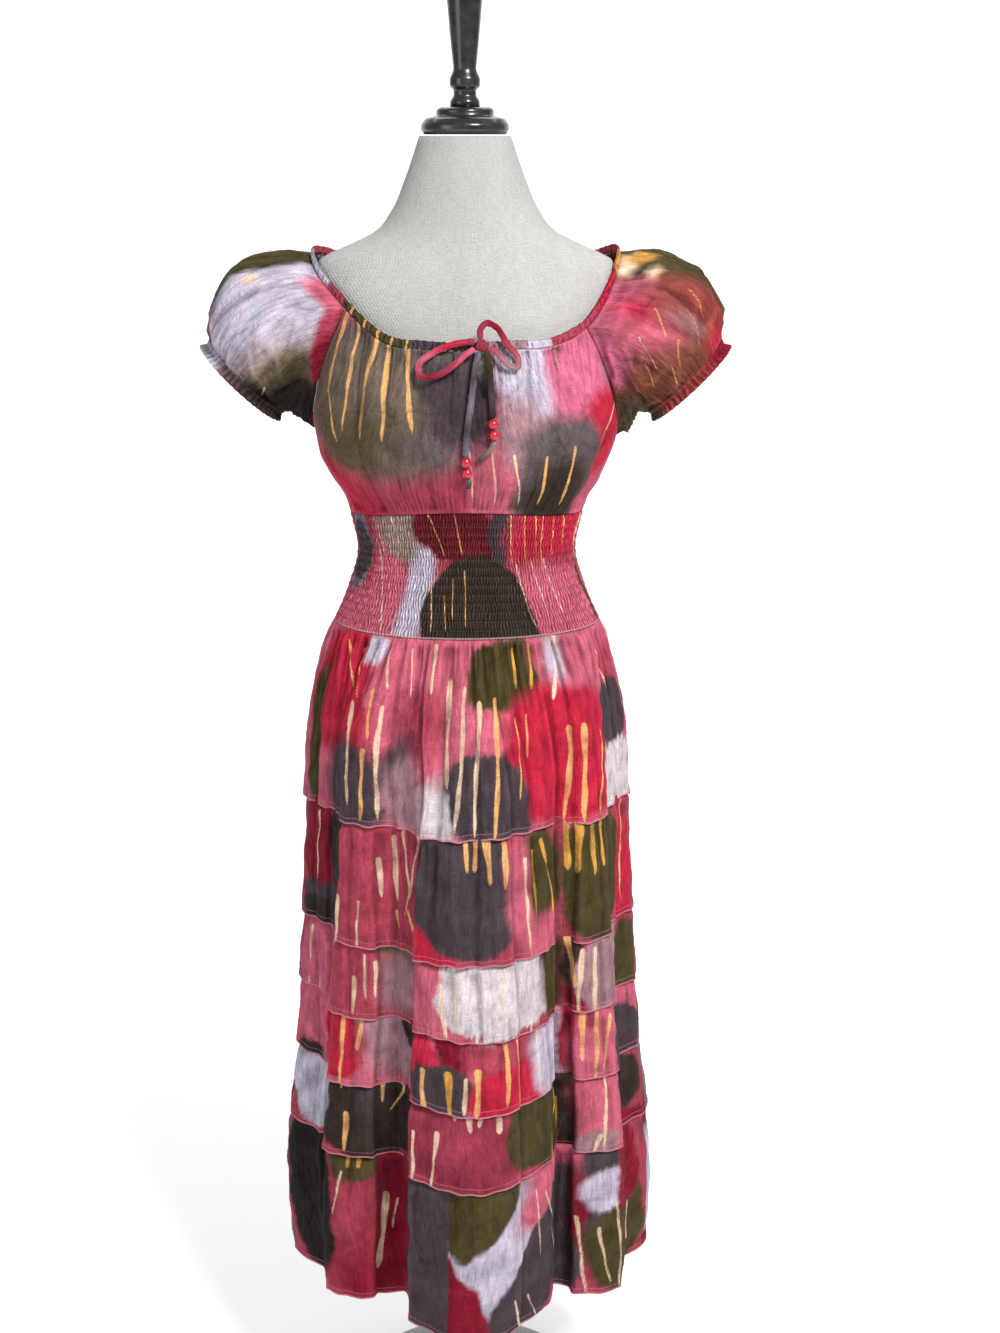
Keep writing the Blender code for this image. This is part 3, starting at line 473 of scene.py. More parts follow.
def weave_group():
    """A plain weave: two crossed waves of threads with slubs. It gives a height and a shade near 1."""
    tree, give, take = group("plain weave", [("Vector", "NodeSocketVector", None), ("Threads", "NodeSocketFloat", 1400.0),
                                             ("Slub", "NodeSocketFloat", 0.5)],
                             [("Height", "NodeSocketFloat"), ("Shade", "NodeSocketFloat")])
    flat = node(tree, "ShaderNodeSeparateXYZ", {0: give.outputs["Vector"]})
    slub = node(tree, "ShaderNodeTexNoise", {"Vector": give.outputs["Vector"], "Scale": 330.0, "Detail": 2.0})
    threads = []
    for axis in ("X", "Y"):
        count = node(tree, "ShaderNodeMath", {0: flat.outputs[axis], 1: give.outputs["Threads"]}, operation="MULTIPLY")
        bend = node(tree, "ShaderNodeMath", {0: slub.outputs[0], 1: 2.5, 2: count.outputs[0]}, operation="MULTIPLY_ADD")
        wave = node(tree, "ShaderNodeMath", {0: bend.outputs[0]}, operation="SINE")
        threads.append(wave.outputs[0])
    both = node(tree, "ShaderNodeMath", {0: threads[0], 1: threads[1]}, operation="MULTIPLY")
    run = node(tree, "ShaderNodeMapping", {"Vector": give.outputs["Vector"], "Scale": (900.0, 60.0, 1.0)})
    yarn = node(tree, "ShaderNodeTexNoise", {"Vector": run.outputs[0], "Scale": 1.0, "Detail": 3.0})
    warp = node(tree, "ShaderNodeMapping", {"Vector": give.outputs["Vector"], "Scale": (60.0, 900.0, 1.0)})
    pick = node(tree, "ShaderNodeTexNoise", {"Vector": warp.outputs[0], "Scale": 1.0, "Detail": 3.0})
    yarns = node(tree, "ShaderNodeMath", {0: yarn.outputs[0], 1: pick.outputs[0]}, operation="ADD")
    height = node(tree, "ShaderNodeMath", {0: both.outputs[0], 1: 0.35, 2: yarns.outputs[0]}, operation="MULTIPLY_ADD")
    tree.links.new(height.outputs[0], take.inputs["Height"])
    low = node(tree, "ShaderNodeMath", {0: 1.0, 1: give.outputs["Slub"]}, operation="SUBTRACT")
    shade = node(tree, "ShaderNodeMath", {0: yarns.outputs[0], 1: give.outputs["Slub"], 2: low.outputs[0]},
                 operation="MULTIPLY_ADD")
    tree.links.new(shade.outputs[0], take.inputs["Shade"])
    return tree


def stitch_group():
    """A line of thread at a height on the cloth: a band of slanting turns. It gives a mask."""
    tree, give, take = group("line of stitches", [("Vector", "NodeSocketVector", None), ("At", "NodeSocketFloat", 0.0),
                                                  ("Half Width", "NodeSocketFloat", 0.001),
                                                  ("Turns", "NodeSocketFloat", 3500.0), ("Gaps", "NodeSocketFloat", 0.4)],
                             [("Mask", "NodeSocketFloat")])
    flat = node(tree, "ShaderNodeSeparateXYZ", {0: give.outputs["Vector"]})
    away = node(tree, "ShaderNodeMath", {0: flat.outputs["Y"], 1: give.outputs["At"]}, operation="SUBTRACT")
    far = node(tree, "ShaderNodeMath", {0: away.outputs[0]}, operation="ABSOLUTE")
    ratio = node(tree, "ShaderNodeMath", {0: far.outputs[0], 1: give.outputs["Half Width"]}, operation="DIVIDE")
    band = node(tree, "ShaderNodeMapRange", {"Value": ratio.outputs[0], "From Min": 1.15, "From Max": 0.75})
    slant = node(tree, "ShaderNodeMath", {0: away.outputs[0], 1: 0.8, 2: flat.outputs["X"]}, operation="MULTIPLY_ADD")
    count = node(tree, "ShaderNodeMath", {0: slant.outputs[0], 1: give.outputs["Turns"]}, operation="MULTIPLY")
    wave = node(tree, "ShaderNodeMath", {0: count.outputs[0]}, operation="SINE")
    gaps = node(tree, "ShaderNodeMath", {0: wave.outputs[0], 1: give.outputs["Gaps"], 2: 1.0}, operation="MULTIPLY_ADD")
    mask = node(tree, "ShaderNodeMath", {0: band.outputs[0], 1: gaps.outputs[0]}, operation="MULTIPLY", use_clamp=True)
    tree.links.new(mask.outputs[0], take.inputs["Mask"])
    return tree


def crinkle_group():
    """The small creases of washed cotton: noise stretched along the cloth's length, with finer crumpling."""
    tree, give, take = group("washed crinkle", [("Vector", "NodeSocketVector", None)],
                             [("Height", "NodeSocketFloat")])
    tall = node(tree, "ShaderNodeMapping", {"Vector": give.outputs["Vector"], "Scale": (95.0, 24.0, 1.0)})
    long_folds = node(tree, "ShaderNodeTexNoise", {"Vector": tall.outputs[0], "Scale": 1.0, "Detail": 4.0,
                                                   "Roughness": 0.6, "Distortion": 0.8})
    small = node(tree, "ShaderNodeTexNoise", {"Vector": give.outputs["Vector"], "Scale": 110.0, "Detail": 4.0,
                                              "Roughness": 0.65, "Distortion": 1.2})
    sum_ = node(tree, "ShaderNodeMath", {0: small.outputs[0], 1: 0.45, 2: long_folds.outputs[0]},
                operation="MULTIPLY_ADD")
    tree.links.new(sum_.outputs[0], take.inputs["Height"])
    return tree


WEAVE = weave_group()
CRINKLE = crinkle_group()
STITCH = stitch_group()


def shader_of(name, roughness, sheen=0.0, coat=0.0):
    """A material with one Principled shader and its constants."""
    made = bpy.data.materials.new(name)
    made.use_nodes = True
    shader = made.node_tree.nodes["Principled BSDF"]
    shader.inputs["Roughness"].default_value = roughness
    shader.inputs["Sheen Weight"].default_value = sheen
    shader.inputs["Coat Weight"].default_value = coat
    return made, made.node_tree, shader


def dyed_cotton(name, threads=1400.0, crinkle=0.9, sewn=(), thread=(0.62, 0.30, 0.38)):
    """Hand-dyed cotton: the dye mottled and washed out in places, wax streaks, weave and crinkle.

    `sewn` has a row for each line of thread: its height on the cloth, half width, turns, gaps and share."""
    made, tree, shader = shader_of(name, 0.85, sheen=0.01)
    shader.inputs["Specular IOR Level"].default_value = 0.12
    flat = node(tree, "ShaderNodeUVMap", uv_map="cloth").outputs[0]
    dye = node(tree, "ShaderNodeAttribute", attribute_name="dye")
    streak = node(tree, "ShaderNodeAttribute", attribute_name="streak")
    cloudy = node(tree, "ShaderNodeTexNoise", {"Vector": flat, "Scale": 26.0, "Detail": 5.0, "Roughness": 0.62})
    cloud = node(tree, "ShaderNodeMapRange", {"Value": cloudy.outputs[0], "From Min": 0.3, "From Max": 0.7,
                                              "To Min": 0.78, "To Max": 1.24})
    brushed = node(tree, "ShaderNodeMapping", {"Vector": flat, "Scale": (230.0, 42.0, 1.0)})
    brush = node(tree, "ShaderNodeTexNoise", {"Vector": brushed.outputs[0], "Scale": 1.0, "Detail": 4.0,
                                              "Roughness": 0.65})
    strokes = node(tree, "ShaderNodeMapRange", {"Value": brush.outputs[0], "From Min": 0.3, "From Max": 0.7,
                                                "To Min": 0.80, "To Max": 1.22})
    cloud = node(tree, "ShaderNodeMath", {0: cloud.outputs[0], 1: strokes.outputs[0]}, operation="MULTIPLY")
    ragged = node(tree, "ShaderNodeTexNoise", {"Vector": flat, "Scale": 520.0, "Detail": 4.0, "Roughness": 0.6})
    edge = node(tree, "ShaderNodeMath", {0: ragged.outputs[0], 1: 0.34, 2: streak.outputs["Alpha"]},
                operation="MULTIPLY_ADD")
    wax = node(tree, "ShaderNodeMapRange", {"Value": edge.outputs[0], "From Min": 0.62, "From Max": 0.76,
                                            "To Max": 0.92})
    thin = node(tree, "ShaderNodeMapRange", {"Value": cloudy.outputs[0], "From Min": 0.36, "From Max": 0.52,
                                             "To Min": 0.62, "To Max": 1.0})
    wax = node(tree, "ShaderNodeMath", {0: wax.outputs[0], 1: thin.outputs[0]}, operation="MULTIPLY")
    mixed = node(tree, "ShaderNodeMix", {0: wax.outputs[0], 6: dye.outputs["Color"], 7: streak.outputs["Color"]},
                 data_type="RGBA")
    weave = node(tree, "ShaderNodeGroup", {}, node_tree=WEAVE)
    tree.links.new(flat, weave.inputs["Vector"])
    weave.inputs["Threads"].default_value = threads
    tone = node(tree, "ShaderNodeMath", {0: weave.outputs["Shade"], 1: cloud.outputs[0]}, operation="MULTIPLY")
    shaded = node(tree, "ShaderNodeVectorMath", {0: mixed.outputs[2]}, operation="SCALE")
    tree.links.new(tone.outputs[0], shaded.inputs["Scale"])
    surface, threads_up = shaded.outputs[0], None
    for at, half, turns, gaps, share in sewn:
        line = node(tree, "ShaderNodeGroup", {}, node_tree=STITCH)
        tree.links.new(flat, line.inputs["Vector"])
        for word, value in (("At", at), ("Half Width", half), ("Turns", turns), ("Gaps", gaps)):
            line.inputs[word].default_value = value
        part = node(tree, "ShaderNodeMath", {0: line.outputs[0], 1: share}, operation="MULTIPLY")
        sewn_over = node(tree, "ShaderNodeMix", {0: part.outputs[0], 6: surface, 7: (*thread, 1)}, data_type="RGBA")
        surface = sewn_over.outputs[2]
        threads_up = line.outputs[0] if threads_up is None else node(
            tree, "ShaderNodeMath", {0: threads_up, 1: line.outputs[0]}, operation="ADD").outputs[0]
    tree.links.new(surface, shader.inputs["Base Color"])
    crumple = node(tree, "ShaderNodeGroup", {}, node_tree=CRINKLE)
    tree.links.new(flat, crumple.inputs["Vector"])
    creased = node(tree, "ShaderNodeBump", {"Height": crumple.outputs[0], "Strength": crinkle, "Distance": 0.0062})
    woven = node(tree, "ShaderNodeBump", {"Height": weave.outputs["Height"], "Strength": 0.45, "Distance": 0.0005,
                                          "Normal": creased.outputs[0]})
    if threads_up is not None:
        woven = node(tree, "ShaderNodeBump", {"Height": threads_up, "Strength": 0.8, "Distance": 0.0006,
                                              "Normal": woven.outputs[0]})
    tree.links.new(woven.outputs[0], shader.inputs["Normal"])
    return made


def form_linen():
    """Off-white linen, with a coarse weave, uneven yarns and faint handling marks."""
    made, tree, shader = shader_of("form linen", 0.88, sheen=0.03)
    shader.inputs["Specular IOR Level"].default_value = 0.15
    flat = node(tree, "ShaderNodeUVMap", uv_map="cloth").outputs[0]
    weave = node(tree, "ShaderNodeGroup", {}, node_tree=WEAVE)
    tree.links.new(flat, weave.inputs["Vector"])
    weave.inputs["Threads"].default_value = 1300.0
    weave.inputs["Slub"].default_value = 0.55
    marks = node(tree, "ShaderNodeTexNoise", {"Vector": flat, "Scale": 12.0, "Detail": 5.0})
    tint = node(tree, "ShaderNodeMix", {0: marks.outputs[0], 6: (0.44, 0.437, 0.420, 1), 7: (0.52, 0.522, 0.512, 1)},
                data_type="RGBA")
    shaded = node(tree, "ShaderNodeVectorMath", {0: tint.outputs[2]}, operation="SCALE")
    tree.links.new(weave.outputs["Shade"], shaded.inputs["Scale"])
    tree.links.new(shaded.outputs[0], shader.inputs["Base Color"])
    woven = node(tree, "ShaderNodeBump", {"Height": weave.outputs["Height"], "Strength": 0.9, "Distance": 0.0009})
    tree.links.new(woven.outputs[0], shader.inputs["Normal"])
    return made


def black_lacquer(name):
    """Black paint on turned wood: glossy, with fine turning lines, dust in a soft noise and worn roughness."""
    made, tree, shader = shader_of(name, 0.25, coat=0.5)
    shader.inputs["Coat Roughness"].default_value = 0.12
    where = node(tree, "ShaderNodeTexCoord").outputs["Object"]
    dust = node(tree, "ShaderNodeTexNoise", {"Vector": where, "Scale": 45.0, "Detail": 6.0, "Roughness": 0.7})
    tone = node(tree, "ShaderNodeMapRange", {"Value": dust.outputs[0], "From Min": 0.35, "From Max": 0.75,
                                             "To Min": 0.0, "To Max": 1.0})
    paint = node(tree, "ShaderNodeMix", {0: tone.outputs[0], 6: (0.008, 0.008, 0.009, 1), 7: (0.030, 0.030, 0.032, 1)},
                 data_type="RGBA")
    tree.links.new(paint.outputs[2], shader.inputs["Base Color"])
    wear_and_painted_highlight = node(tree, "ShaderNodeMapRange", {"Value": dust.outputs[0], "From Min": 0.3, "From Max": 0.7,
                                             "To Min": 0.16, "To Max": 0.42})
    tree.links.new(wear_and_painted_highlight.outputs[0], shader.inputs["Roughness"])
    squashed = node(tree, "ShaderNodeMapping", {"Vector": where, "Scale": (6.0, 6.0, 900.0)})
    lines = node(tree, "ShaderNodeTexNoise", {"Vector": squashed.outputs[0], "Scale": 1.0, "Detail": 2.0})
    bump = node(tree, "ShaderNodeBump", {"Height": lines.outputs[0], "Strength": 0.12, "Distance": 0.0004})
    tree.links.new(bump.outputs[0], shader.inputs["Normal"])
    return made


def bead_paint():
    """Red painted wood under a clear coat, a little uneven."""
    made, tree, shader = shader_of("bead red", 0.28, coat=0.6)
    where = node(tree, "ShaderNodeTexCoord").outputs["Object"]
    spots = node(tree, "ShaderNodeTexNoise", {"Vector": where, "Scale": 260.0, "Detail": 4.0})
    paint = node(tree, "ShaderNodeMix", {0: spots.outputs[0], 6: (0.40, 0.006, 0.018, 1), 7: (0.58, 0.016, 0.038, 1)},
                 data_type="RGBA")
    tree.links.new(paint.outputs[2], shader.inputs["Base Color"])
    bump = node(tree, "ShaderNodeBump", {"Height": spots.outputs[0], "Strength": 0.1, "Distance": 0.0005})
    tree.links.new(bump.outputs[0], shader.inputs["Normal"])
    return made


COTTON = dyed_cotton("dyed cotton")
# Overlocked hem, and a line of straight stitches over it
TIERED = dyed_cotton("tiered cotton", sewn=[(0.0011, 0.0011, 3200.0, 0.45, 0.85), (0.0075, 0.00045, 1600.0, 0.7, 0.55)],
                     thread=(0.62, 0.24, 0.31))
ROW_PITCH = (SMOCK_TOP - 0.5 * SMOCK_SIDE_DROP - SMOCK_BOTTOM) / SMOCK_ROWS * 1.02
SMOCKED = dyed_cotton("smocked cotton", crinkle=0.35, thread=(0.52, 0.34, 0.34),
                      sewn=[(0.0012, 0.0012, 2400.0, 0.5, 0.75)]
                      + [(k * ROW_PITCH, 0.0004, 1500.0, 1.4, 0.10) for k in range(1, SMOCK_ROWS)])
TIE_COTTON = dyed_cotton("drawstring cotton", crinkle=0.6)
LINEN = form_linen()
LACQUER = black_lacquer("black lacquer")
BEAD_RED = bead_paint()


# Dye

# Patches: angle, height, half width in degrees, half height, lean in degrees a metre, dye and soft edge. The patches
# marked below as painted shade or painted shadow stand for shade, not for dye.
PATCHES = {
    "bodice_front_cotton": [
        (-60.1, 1.223, 17.7, 0.058, 59, "red", 0.007), (-63.9, 1.220, 13.8, 0.043, 56, "red", 0.006),
        (-20.3, 1.225, 37.7, 0.046, 0, "rose", 0.008), (17.0, 1.234, 14.8, 0.054, 0, "pink", 0.008),
        (-31.6, 1.371, 50.9, 0.050, 0, "smoke", 0.007), (-47.2, 1.315, 34.7, 0.076, 105, "taupe", 0.009),
        (-50.0, 1.282, 24.0, 0.030, 60, "khaki", 0.010),
        (-1.9, 1.326, 18.1, 0.051, 0, "slate", 0.008), (-13.6, 1.271, 15.7, 0.017, 135, "smoke", 0.008),
        (30.9, 1.353, 14.4, 0.049, 28, "lavender", 0.007), (46.6, 1.357, 7.6, 0.050, 0, "bright", 0.006),
        (26.0, 1.292, 10.2, 0.040, 0, "mauve", 0.007), (67.1, 1.361, 16.4, 0.048, 0, "bright", 0.006),
        (69.7, 1.289, 12.4, 0.052, -32, "red", 0.006), (74.8, 1.374, 8.9, 0.028, 0, "mauve", 0.005),
        (46.6, 1.241, 20.8, 0.069, 0, "smoke", 0.007),
        (48.0, 1.215, 17.5, 0.048, 0, "charcoal", 0.009)],
    "smock_front": [
        (-72.6, 1.145, 9.4, 0.055, -54, "grey", 0.004), (-72.6, 1.146, 9.4, 0.036, -51, "slate", 0.004),
        (-49.6, 1.119, 10.9, 0.076, 23, "pink", 0.005), (-61.9, 1.070, 24.1, 0.030, 0, "pink", 0.007),
        (-39.2, 1.173, 16.6, 0.035, 130, "beige", 0.005), (-30.4, 1.101, 8.8, 0.060, -95, "lavender", 0.005),
        (-5.8, 1.174, 27.1, 0.037, 163, "wine", 0.004), (21.9, 1.171, 6.9, 0.039, 32, "slate", 0.004),
        (54.5, 1.169, 27.0, 0.037, 36, "red", 0.006), (57.1, 1.089, 29.3, 0.047, 92, "pink", 0.006),
        (7.4, 1.066, 34.2, 0.083, 0, "charcoal", 0.0035), (80.2, 1.161, 1.1, 0.034, 0, "cream", 0.004),
        (83.0, 1.092, 2.8, 0.041, 93, "olive", 0.004)],
    "bodice_back_cotton": [
        (122, 1.250, 24, 0.055, -50, "red", 0.006), (146, 1.375, 24, 0.060, 60, "slate", 0.005),
        (172, 1.262, 22, 0.050, 0, "mauve", 0.008), (206, 1.370, 22, 0.062, -40, "olive", 0.005),
        (184, 1.352, 9, 0.075, 20, "lavender", 0.006), (240, 1.260, 24, 0.070, 0, "rose", 0.008),
        (232, 1.395, 14, 0.045, 0, "lavender", 0.006), (212, 1.232, 16, 0.034, 0, "crimson", 0.004),
        (116, 1.340, 10, 0.050, 0, "khaki", 0.006), (150, 1.218, 14, 0.030, 0, "charcoal", 0.004)],
    "smock_back": [
        (228, 1.165, 26, 0.046, 60, "wine", 0.004), (196, 1.168, 15, 0.050, -80, "beige", 0.005),
        (184, 1.094, 12, 0.070, 60, "lavender", 0.005), (124, 1.160, 24, 0.050, 60, "red", 0.005),
        (160, 1.178, 14, 0.034, 0, "slate", 0.004), (146, 1.066, 28, 0.080, 0, "khaki", 0.0035),
        (222, 1.080, 24, 0.060, -40, "pink", 0.005), (104, 1.080, 10, 0.070, 0, "slate", 0.004),
        (252, 1.110, 9, 0.060, 0, "charcoal", 0.004)],
    "tier_1_front": [
        (-63.9, 0.983, 19.9, 0.074, 0, "red", 0.005), (-60.3, 0.950, 23.3, 0.035, 0, "red", 0.006),
        (-46.3, 1.038, 6.3, 0.015, 0, "lavender", 0.004), (-18.7, 0.970, 20.6, 0.082, 0, "pink", 0.008),
        (-20.8, 0.959, 11.1, 0.038, 0, "rose", 0.008), (18.1, 1.015, 18.2, 0.038, -63, "olive", 0.004),
        (55.3, 1.034, 19.8, 0.035, 54, "pink", 0.006), (45.4, 1.031, 4.0, 0.026, 0, "lavender", 0.005),
        (78.2, 1.002, 7.9, 0.027, 0, "rose", 0.005), (44.4, 0.916, 29.7, 0.081, 21, "red", 0.005),
        (-50.8, 0.869, 16.2, 0.065, 0, "slate", 0.005), (-31.2, 0.910, 5.4, 0.031, -97, "slate", 0.006),
        # Painted shade: the mauve patch at -26 degrees darkens the recess behind the front panel, where shade falls.
        (-25.9, 0.872, 10.0, 0.041, 0, "mauve", 0.006), (-9.2, 0.863, 8.4, 0.036, -41, "white", 0.006),
        (9.4, 0.878, 15.9, 0.055, 46, "slate", 0.004), (75.4, 0.947, 10.6, 0.040, 0, "slate", 0.004),
        (74.4, 0.866, 11.9, 0.047, 0, "white", 0.004), (-78.7, 0.918, 4.9, 0.086, 0, "olive", 0.004)],
    "tier_2_front": [
        (-36.2, 0.754, 18.8, 0.095, 0, "rose", 0.007), (-27.3, 0.763, 9.8, 0.073, 0, "rose", 0.004),
        (-11.8, 0.720, 7.7, 0.052, 55, "red", 0.004), (-0.9, 0.769, 18.4, 0.078, 13, "slate", 0.0045),
        (28.1, 0.755, 13.8, 0.084, 18, "pink", 0.006), (33.3, 0.784, 9.4, 0.063, 57, "olive", 0.005),
        (34.8, 0.702, 8.2, 0.027, 0, "pink", 0.005), (59.2, 0.764, 16.9, 0.086, 4, "olive", 0.004),
        (80.9, 0.750, 6.3, 0.094, 0, "red", 0.003), (-74.9, 0.784, 9.7, 0.066, 0, "crimson", 0.004),
        (-59.2, 0.772, 8.6, 0.081, 0, "charcoal", 0.003), (-70.1, 0.721, 15.1, 0.014, 0, "slate", 0.004),
        (-68.8, 0.686, 15.9, 0.030, 106, "charcoal", 0.004)],
    "tier_3_front": [
        (-51.6, 0.637, 12.2, 0.053, 0, "rose", 0.004), (-29.0, 0.686, 10.6, 0.017, 0, "olive", 0.004),
        # Painted shade: the mauve patch at -29 degrees darkens the recess behind the front panel, where shade falls.
        (-29.4, 0.637, 9.9, 0.035, 0, "mauve", 0.006), (-11.7, 0.631, 8.9, 0.054, 37, "pink", 0.005),
        (12.2, 0.644, 21.2, 0.054, 13, "white", 0.004), (37.3, 0.641, 7.3, 0.057, 0, "olive", 0.005),
        # Painted shadow: the narrow charcoal and crimson strips near 46 to 47 degrees darken the recess beside the
        # flute's edge.
        (46.3, 0.659, 2.4, 0.039, 23, "charcoal", 0.004), (47.2, 0.609, 2.4, 0.018, 0, "crimson", 0.004),
        (63.1, 0.637, 15.3, 0.058, 0, "mauve", 0.004), (82.9, 0.609, 5.6, 0.069, 0, "olive", 0.003),
        (-71.2, 0.602, 15.1, 0.086, 0, "pink", 0.005), (-73.4, 0.528, 13.3, 0.020, 0, "mauve", 0.004)],
    "tier_4_front": [
        # Painted shade: the mauve patch at -32 degrees and the narrow charcoal strip at -25 degrees darken the recess
        # behind the front panel.
        (-56.4, 0.554, 14.1, 0.050, -26, "red", 0.004), (-31.9, 0.563, 11.4, 0.050, 0, "mauve", 0.006),
        (-24.9, 0.580, 5.6, 0.023, 0, "charcoal", 0.003), (-14.7, 0.546, 5.7, 0.051, 0, "red", 0.004),
        (-4.6, 0.573, 4.4, 0.040, 16, "crimson", 0.004), (12.2, 0.578, 13.7, 0.034, 0, "rose", 0.005),
        (5.7, 0.601, 6.6, 0.014, 0, "beige", 0.004), (-8.6, 0.526, 10.7, 0.032, 22, "slate", 0.004),
        (19.7, 0.525, 18.7, 0.031, 0, "red", 0.004), (35.4, 0.543, 10.5, 0.053, 38, "lavender", 0.005),
        # Painted shadow: the narrow crimson strip at 46 degrees darkens the recess beside the flute's edge.
        (46.4, 0.567, 2.4, 0.059, 8, "crimson", 0.004), (63.5, 0.548, 15.8, 0.050, 0, "pink", 0.005),
        (51.6, 0.584, 3.0, 0.016, 0, "rose", 0.004), (76.1, 0.521, 13.3, 0.047, 0, "slate", 0.004),
        (-79.5, 0.506, 6.4, 0.013, 0, "charcoal", 0.004)],
    "tier_5_front": [
        (-40.7, 0.469, 20.4, 0.059, 0, "charcoal", 0.004), (-41.2, 0.490, 2.5, 0.020, 0, "slate", 0.006),
        (-1.2, 0.461, 19.0, 0.068, 0, "raspberry", 0.005), (-3.3, 0.472, 4.8, 0.025, 0, "rose", 0.007),
        # Painted shadow: the narrow charcoal strip at 47 degrees darkens the recess beside the flute's edge.
        (28.9, 0.466, 16.4, 0.054, 17, "olive", 0.004), (46.7, 0.454, 3.3, 0.074, 9, "charcoal", 0.004),
        (62.9, 0.464, 13.9, 0.059, 16, "pink", 0.005), (54.8, 0.420, 5.1, 0.015, 0, "mauve", 0.004),
        (75.1, 0.464, 12.4, 0.036, 0, "charcoal", 0.004), (75.8, 0.389, 14.5, 0.044, 0, "crimson", 0.004),
        (-73.1, 0.469, 14.9, 0.056, 0, "lavender", 0.004)],
    "tier_6_front": [
        (-38.6, 0.320, 20.2, 0.113, 0, "crimson", 0.006), (-48.9, 0.334, 6.9, 0.056, -29, "rose", 0.009),
        (-47.8, 0.402, 7.6, 0.026, 0, "olive", 0.004), (-28.2, 0.364, 8.9, 0.043, 0, "crimson", 0.005),
        (14.0, 0.318, 24.0, 0.082, -40, "lavender", 0.005), (4.0, 0.384, 13.0, 0.068, -40, "olive", 0.004),
        (18.7, 0.330, 14.0, 0.056, -187, "lavender", 0.004), (36.0, 0.390, 14.0, 0.056, -150, "pink", 0.005),
        (-5.0, 0.262, 9.5, 0.078, 150, "crimson", 0.0045), (34.0, 0.290, 19.0, 0.080, -190, "slate", 0.004),
        (46.5, 0.290, 6.0, 0.100, 0, "slate", 0.004),
        (50.9, 0.329, 1.9, 0.052, 17, "crimson", 0.004), (55.8, 0.395, 6.0, 0.026, 0, "slate", 0.004),
        (56.9, 0.352, 5.9, 0.028, 0, "lavender", 0.004), (70.5, 0.270, 18.0, 0.064, 18, "olive", 0.004),
        # Painted shade: the black patch at -71 degrees darkens the far left of the lowest tier, where shade falls.
        (72.3, 0.349, 12.7, 0.059, 19, "crimson", 0.004), (-71.3, 0.321, 17.1, 0.116, 0, "black", 0.004),
        (-12.3, 0.300, 7.3, 0.130, 0, "slate", 0.0006)],
    "sleeve_left": [
        (180, 0.060, 20, 0.095, 0, "olive", 0.004), (172, 0.100, 22, 0.016, 0, "mauve", 0.005),
        # Painted shade: the beige, khaki and black patches darken the sleeve toward its underside, where shade falls.
        (150, 0.044, 4, 0.004, 0, "cream", 0.004), (70, 0.074, 28, 0.110, -260, "beige", 0.009),
        (54, 0.074, 28, 0.110, -260, "khaki", 0.006), (28, 0.080, 36, 0.110, -300, "black", 0.008),
        (112, 0.002, 28, 0.016, 0, "pink", 0.004), (84, 0.004, 24, 0.018, 0, "rose", 0.004),
        (60, 0.005, 22, 0.017, 0, "crimson", 0.004), (-110, 0.060, 30, 0.060, 0, "rose", 0.006),
        (-150, 0.100, 20, 0.050, 0, "lavender", 0.005), (-60, 0.020, 26, 0.040, 0, "crimson", 0.006)],
    "sleeve_right": [
        (178, 0.050, 22, 0.085, 0, "olive", 0.004), (166, 0.004, 14, 0.008, 0, "cream", 0.003),
        (176, 0.012, 5, 0.008, 0, "yellow", 0.003), (156, 0.014, 7, 0.005, 0, "charcoal", 0.003),
        (154, 0.021, 6, 0.004, 0, "cream", 0.003), (122, 0.012, 24, 0.024, 0, "bright", 0.005),
        (116, 0.030, 14, 0.020, 0, "red", 0.008), (70, 0.014, 24, 0.022, 0, "bright", 0.008),
        (96, 0.052, 12, 0.020, 0, "pink", 0.008), (128, 0.064, 9, 0.016, 0, "mauve", 0.006),
        (134, 0.040, 10, 0.022, 0, "rust", 0.008),
        (150, 0.078, 12, 0.030, 0, "rust", 0.007), (150, 0.112, 24, 0.016, 0, "red", 0.006),
        (70, 0.090, 26, 0.026, 0, "tawny", 0.008), (14, 0.070, 24, 0.090, 0, "khaki", 0.008),
        (-120, 0.060, 28, 0.060, 0, "slate", 0.006), (-60, 0.090, 26, 0.040, 0, "lavender", 0.006)],
    # Painted shade: the charcoal patch covers the left cuff's underside, where shade falls.
    "cuff_left": [(20, 0.126, 96, 0.030, 0, "charcoal", 0.006), (150, 0.126, 30, 0.030, 0, "lavender", 0.006)],
    "cuff_right": [(70, 0.126, 50, 0.030, 0, "rust", 0.006), (10, 0.126, 30, 0.030, 0, "khaki", 0.006)],
    "band_front_left": [
        (-84, 1.475, 15, 0.080, 0, "lavender", 0.004), (-65, 1.440, 6, 0.080, 0, "rose", 0.004),
        (-46, 1.400, 18, 0.060, 0, "olive", 0.004)],
    "band_front_right": [
        (22, 1.392, 12, 0.040, 0, "mauve", 0.004), (38, 1.394, 6, 0.040, 0, "lavender", 0.004),
        (76, 1.450, 9, 0.050, 0, "red", 0.005), (90, 1.480, 8, 0.050, 0, "yellow", 0.004)],
}
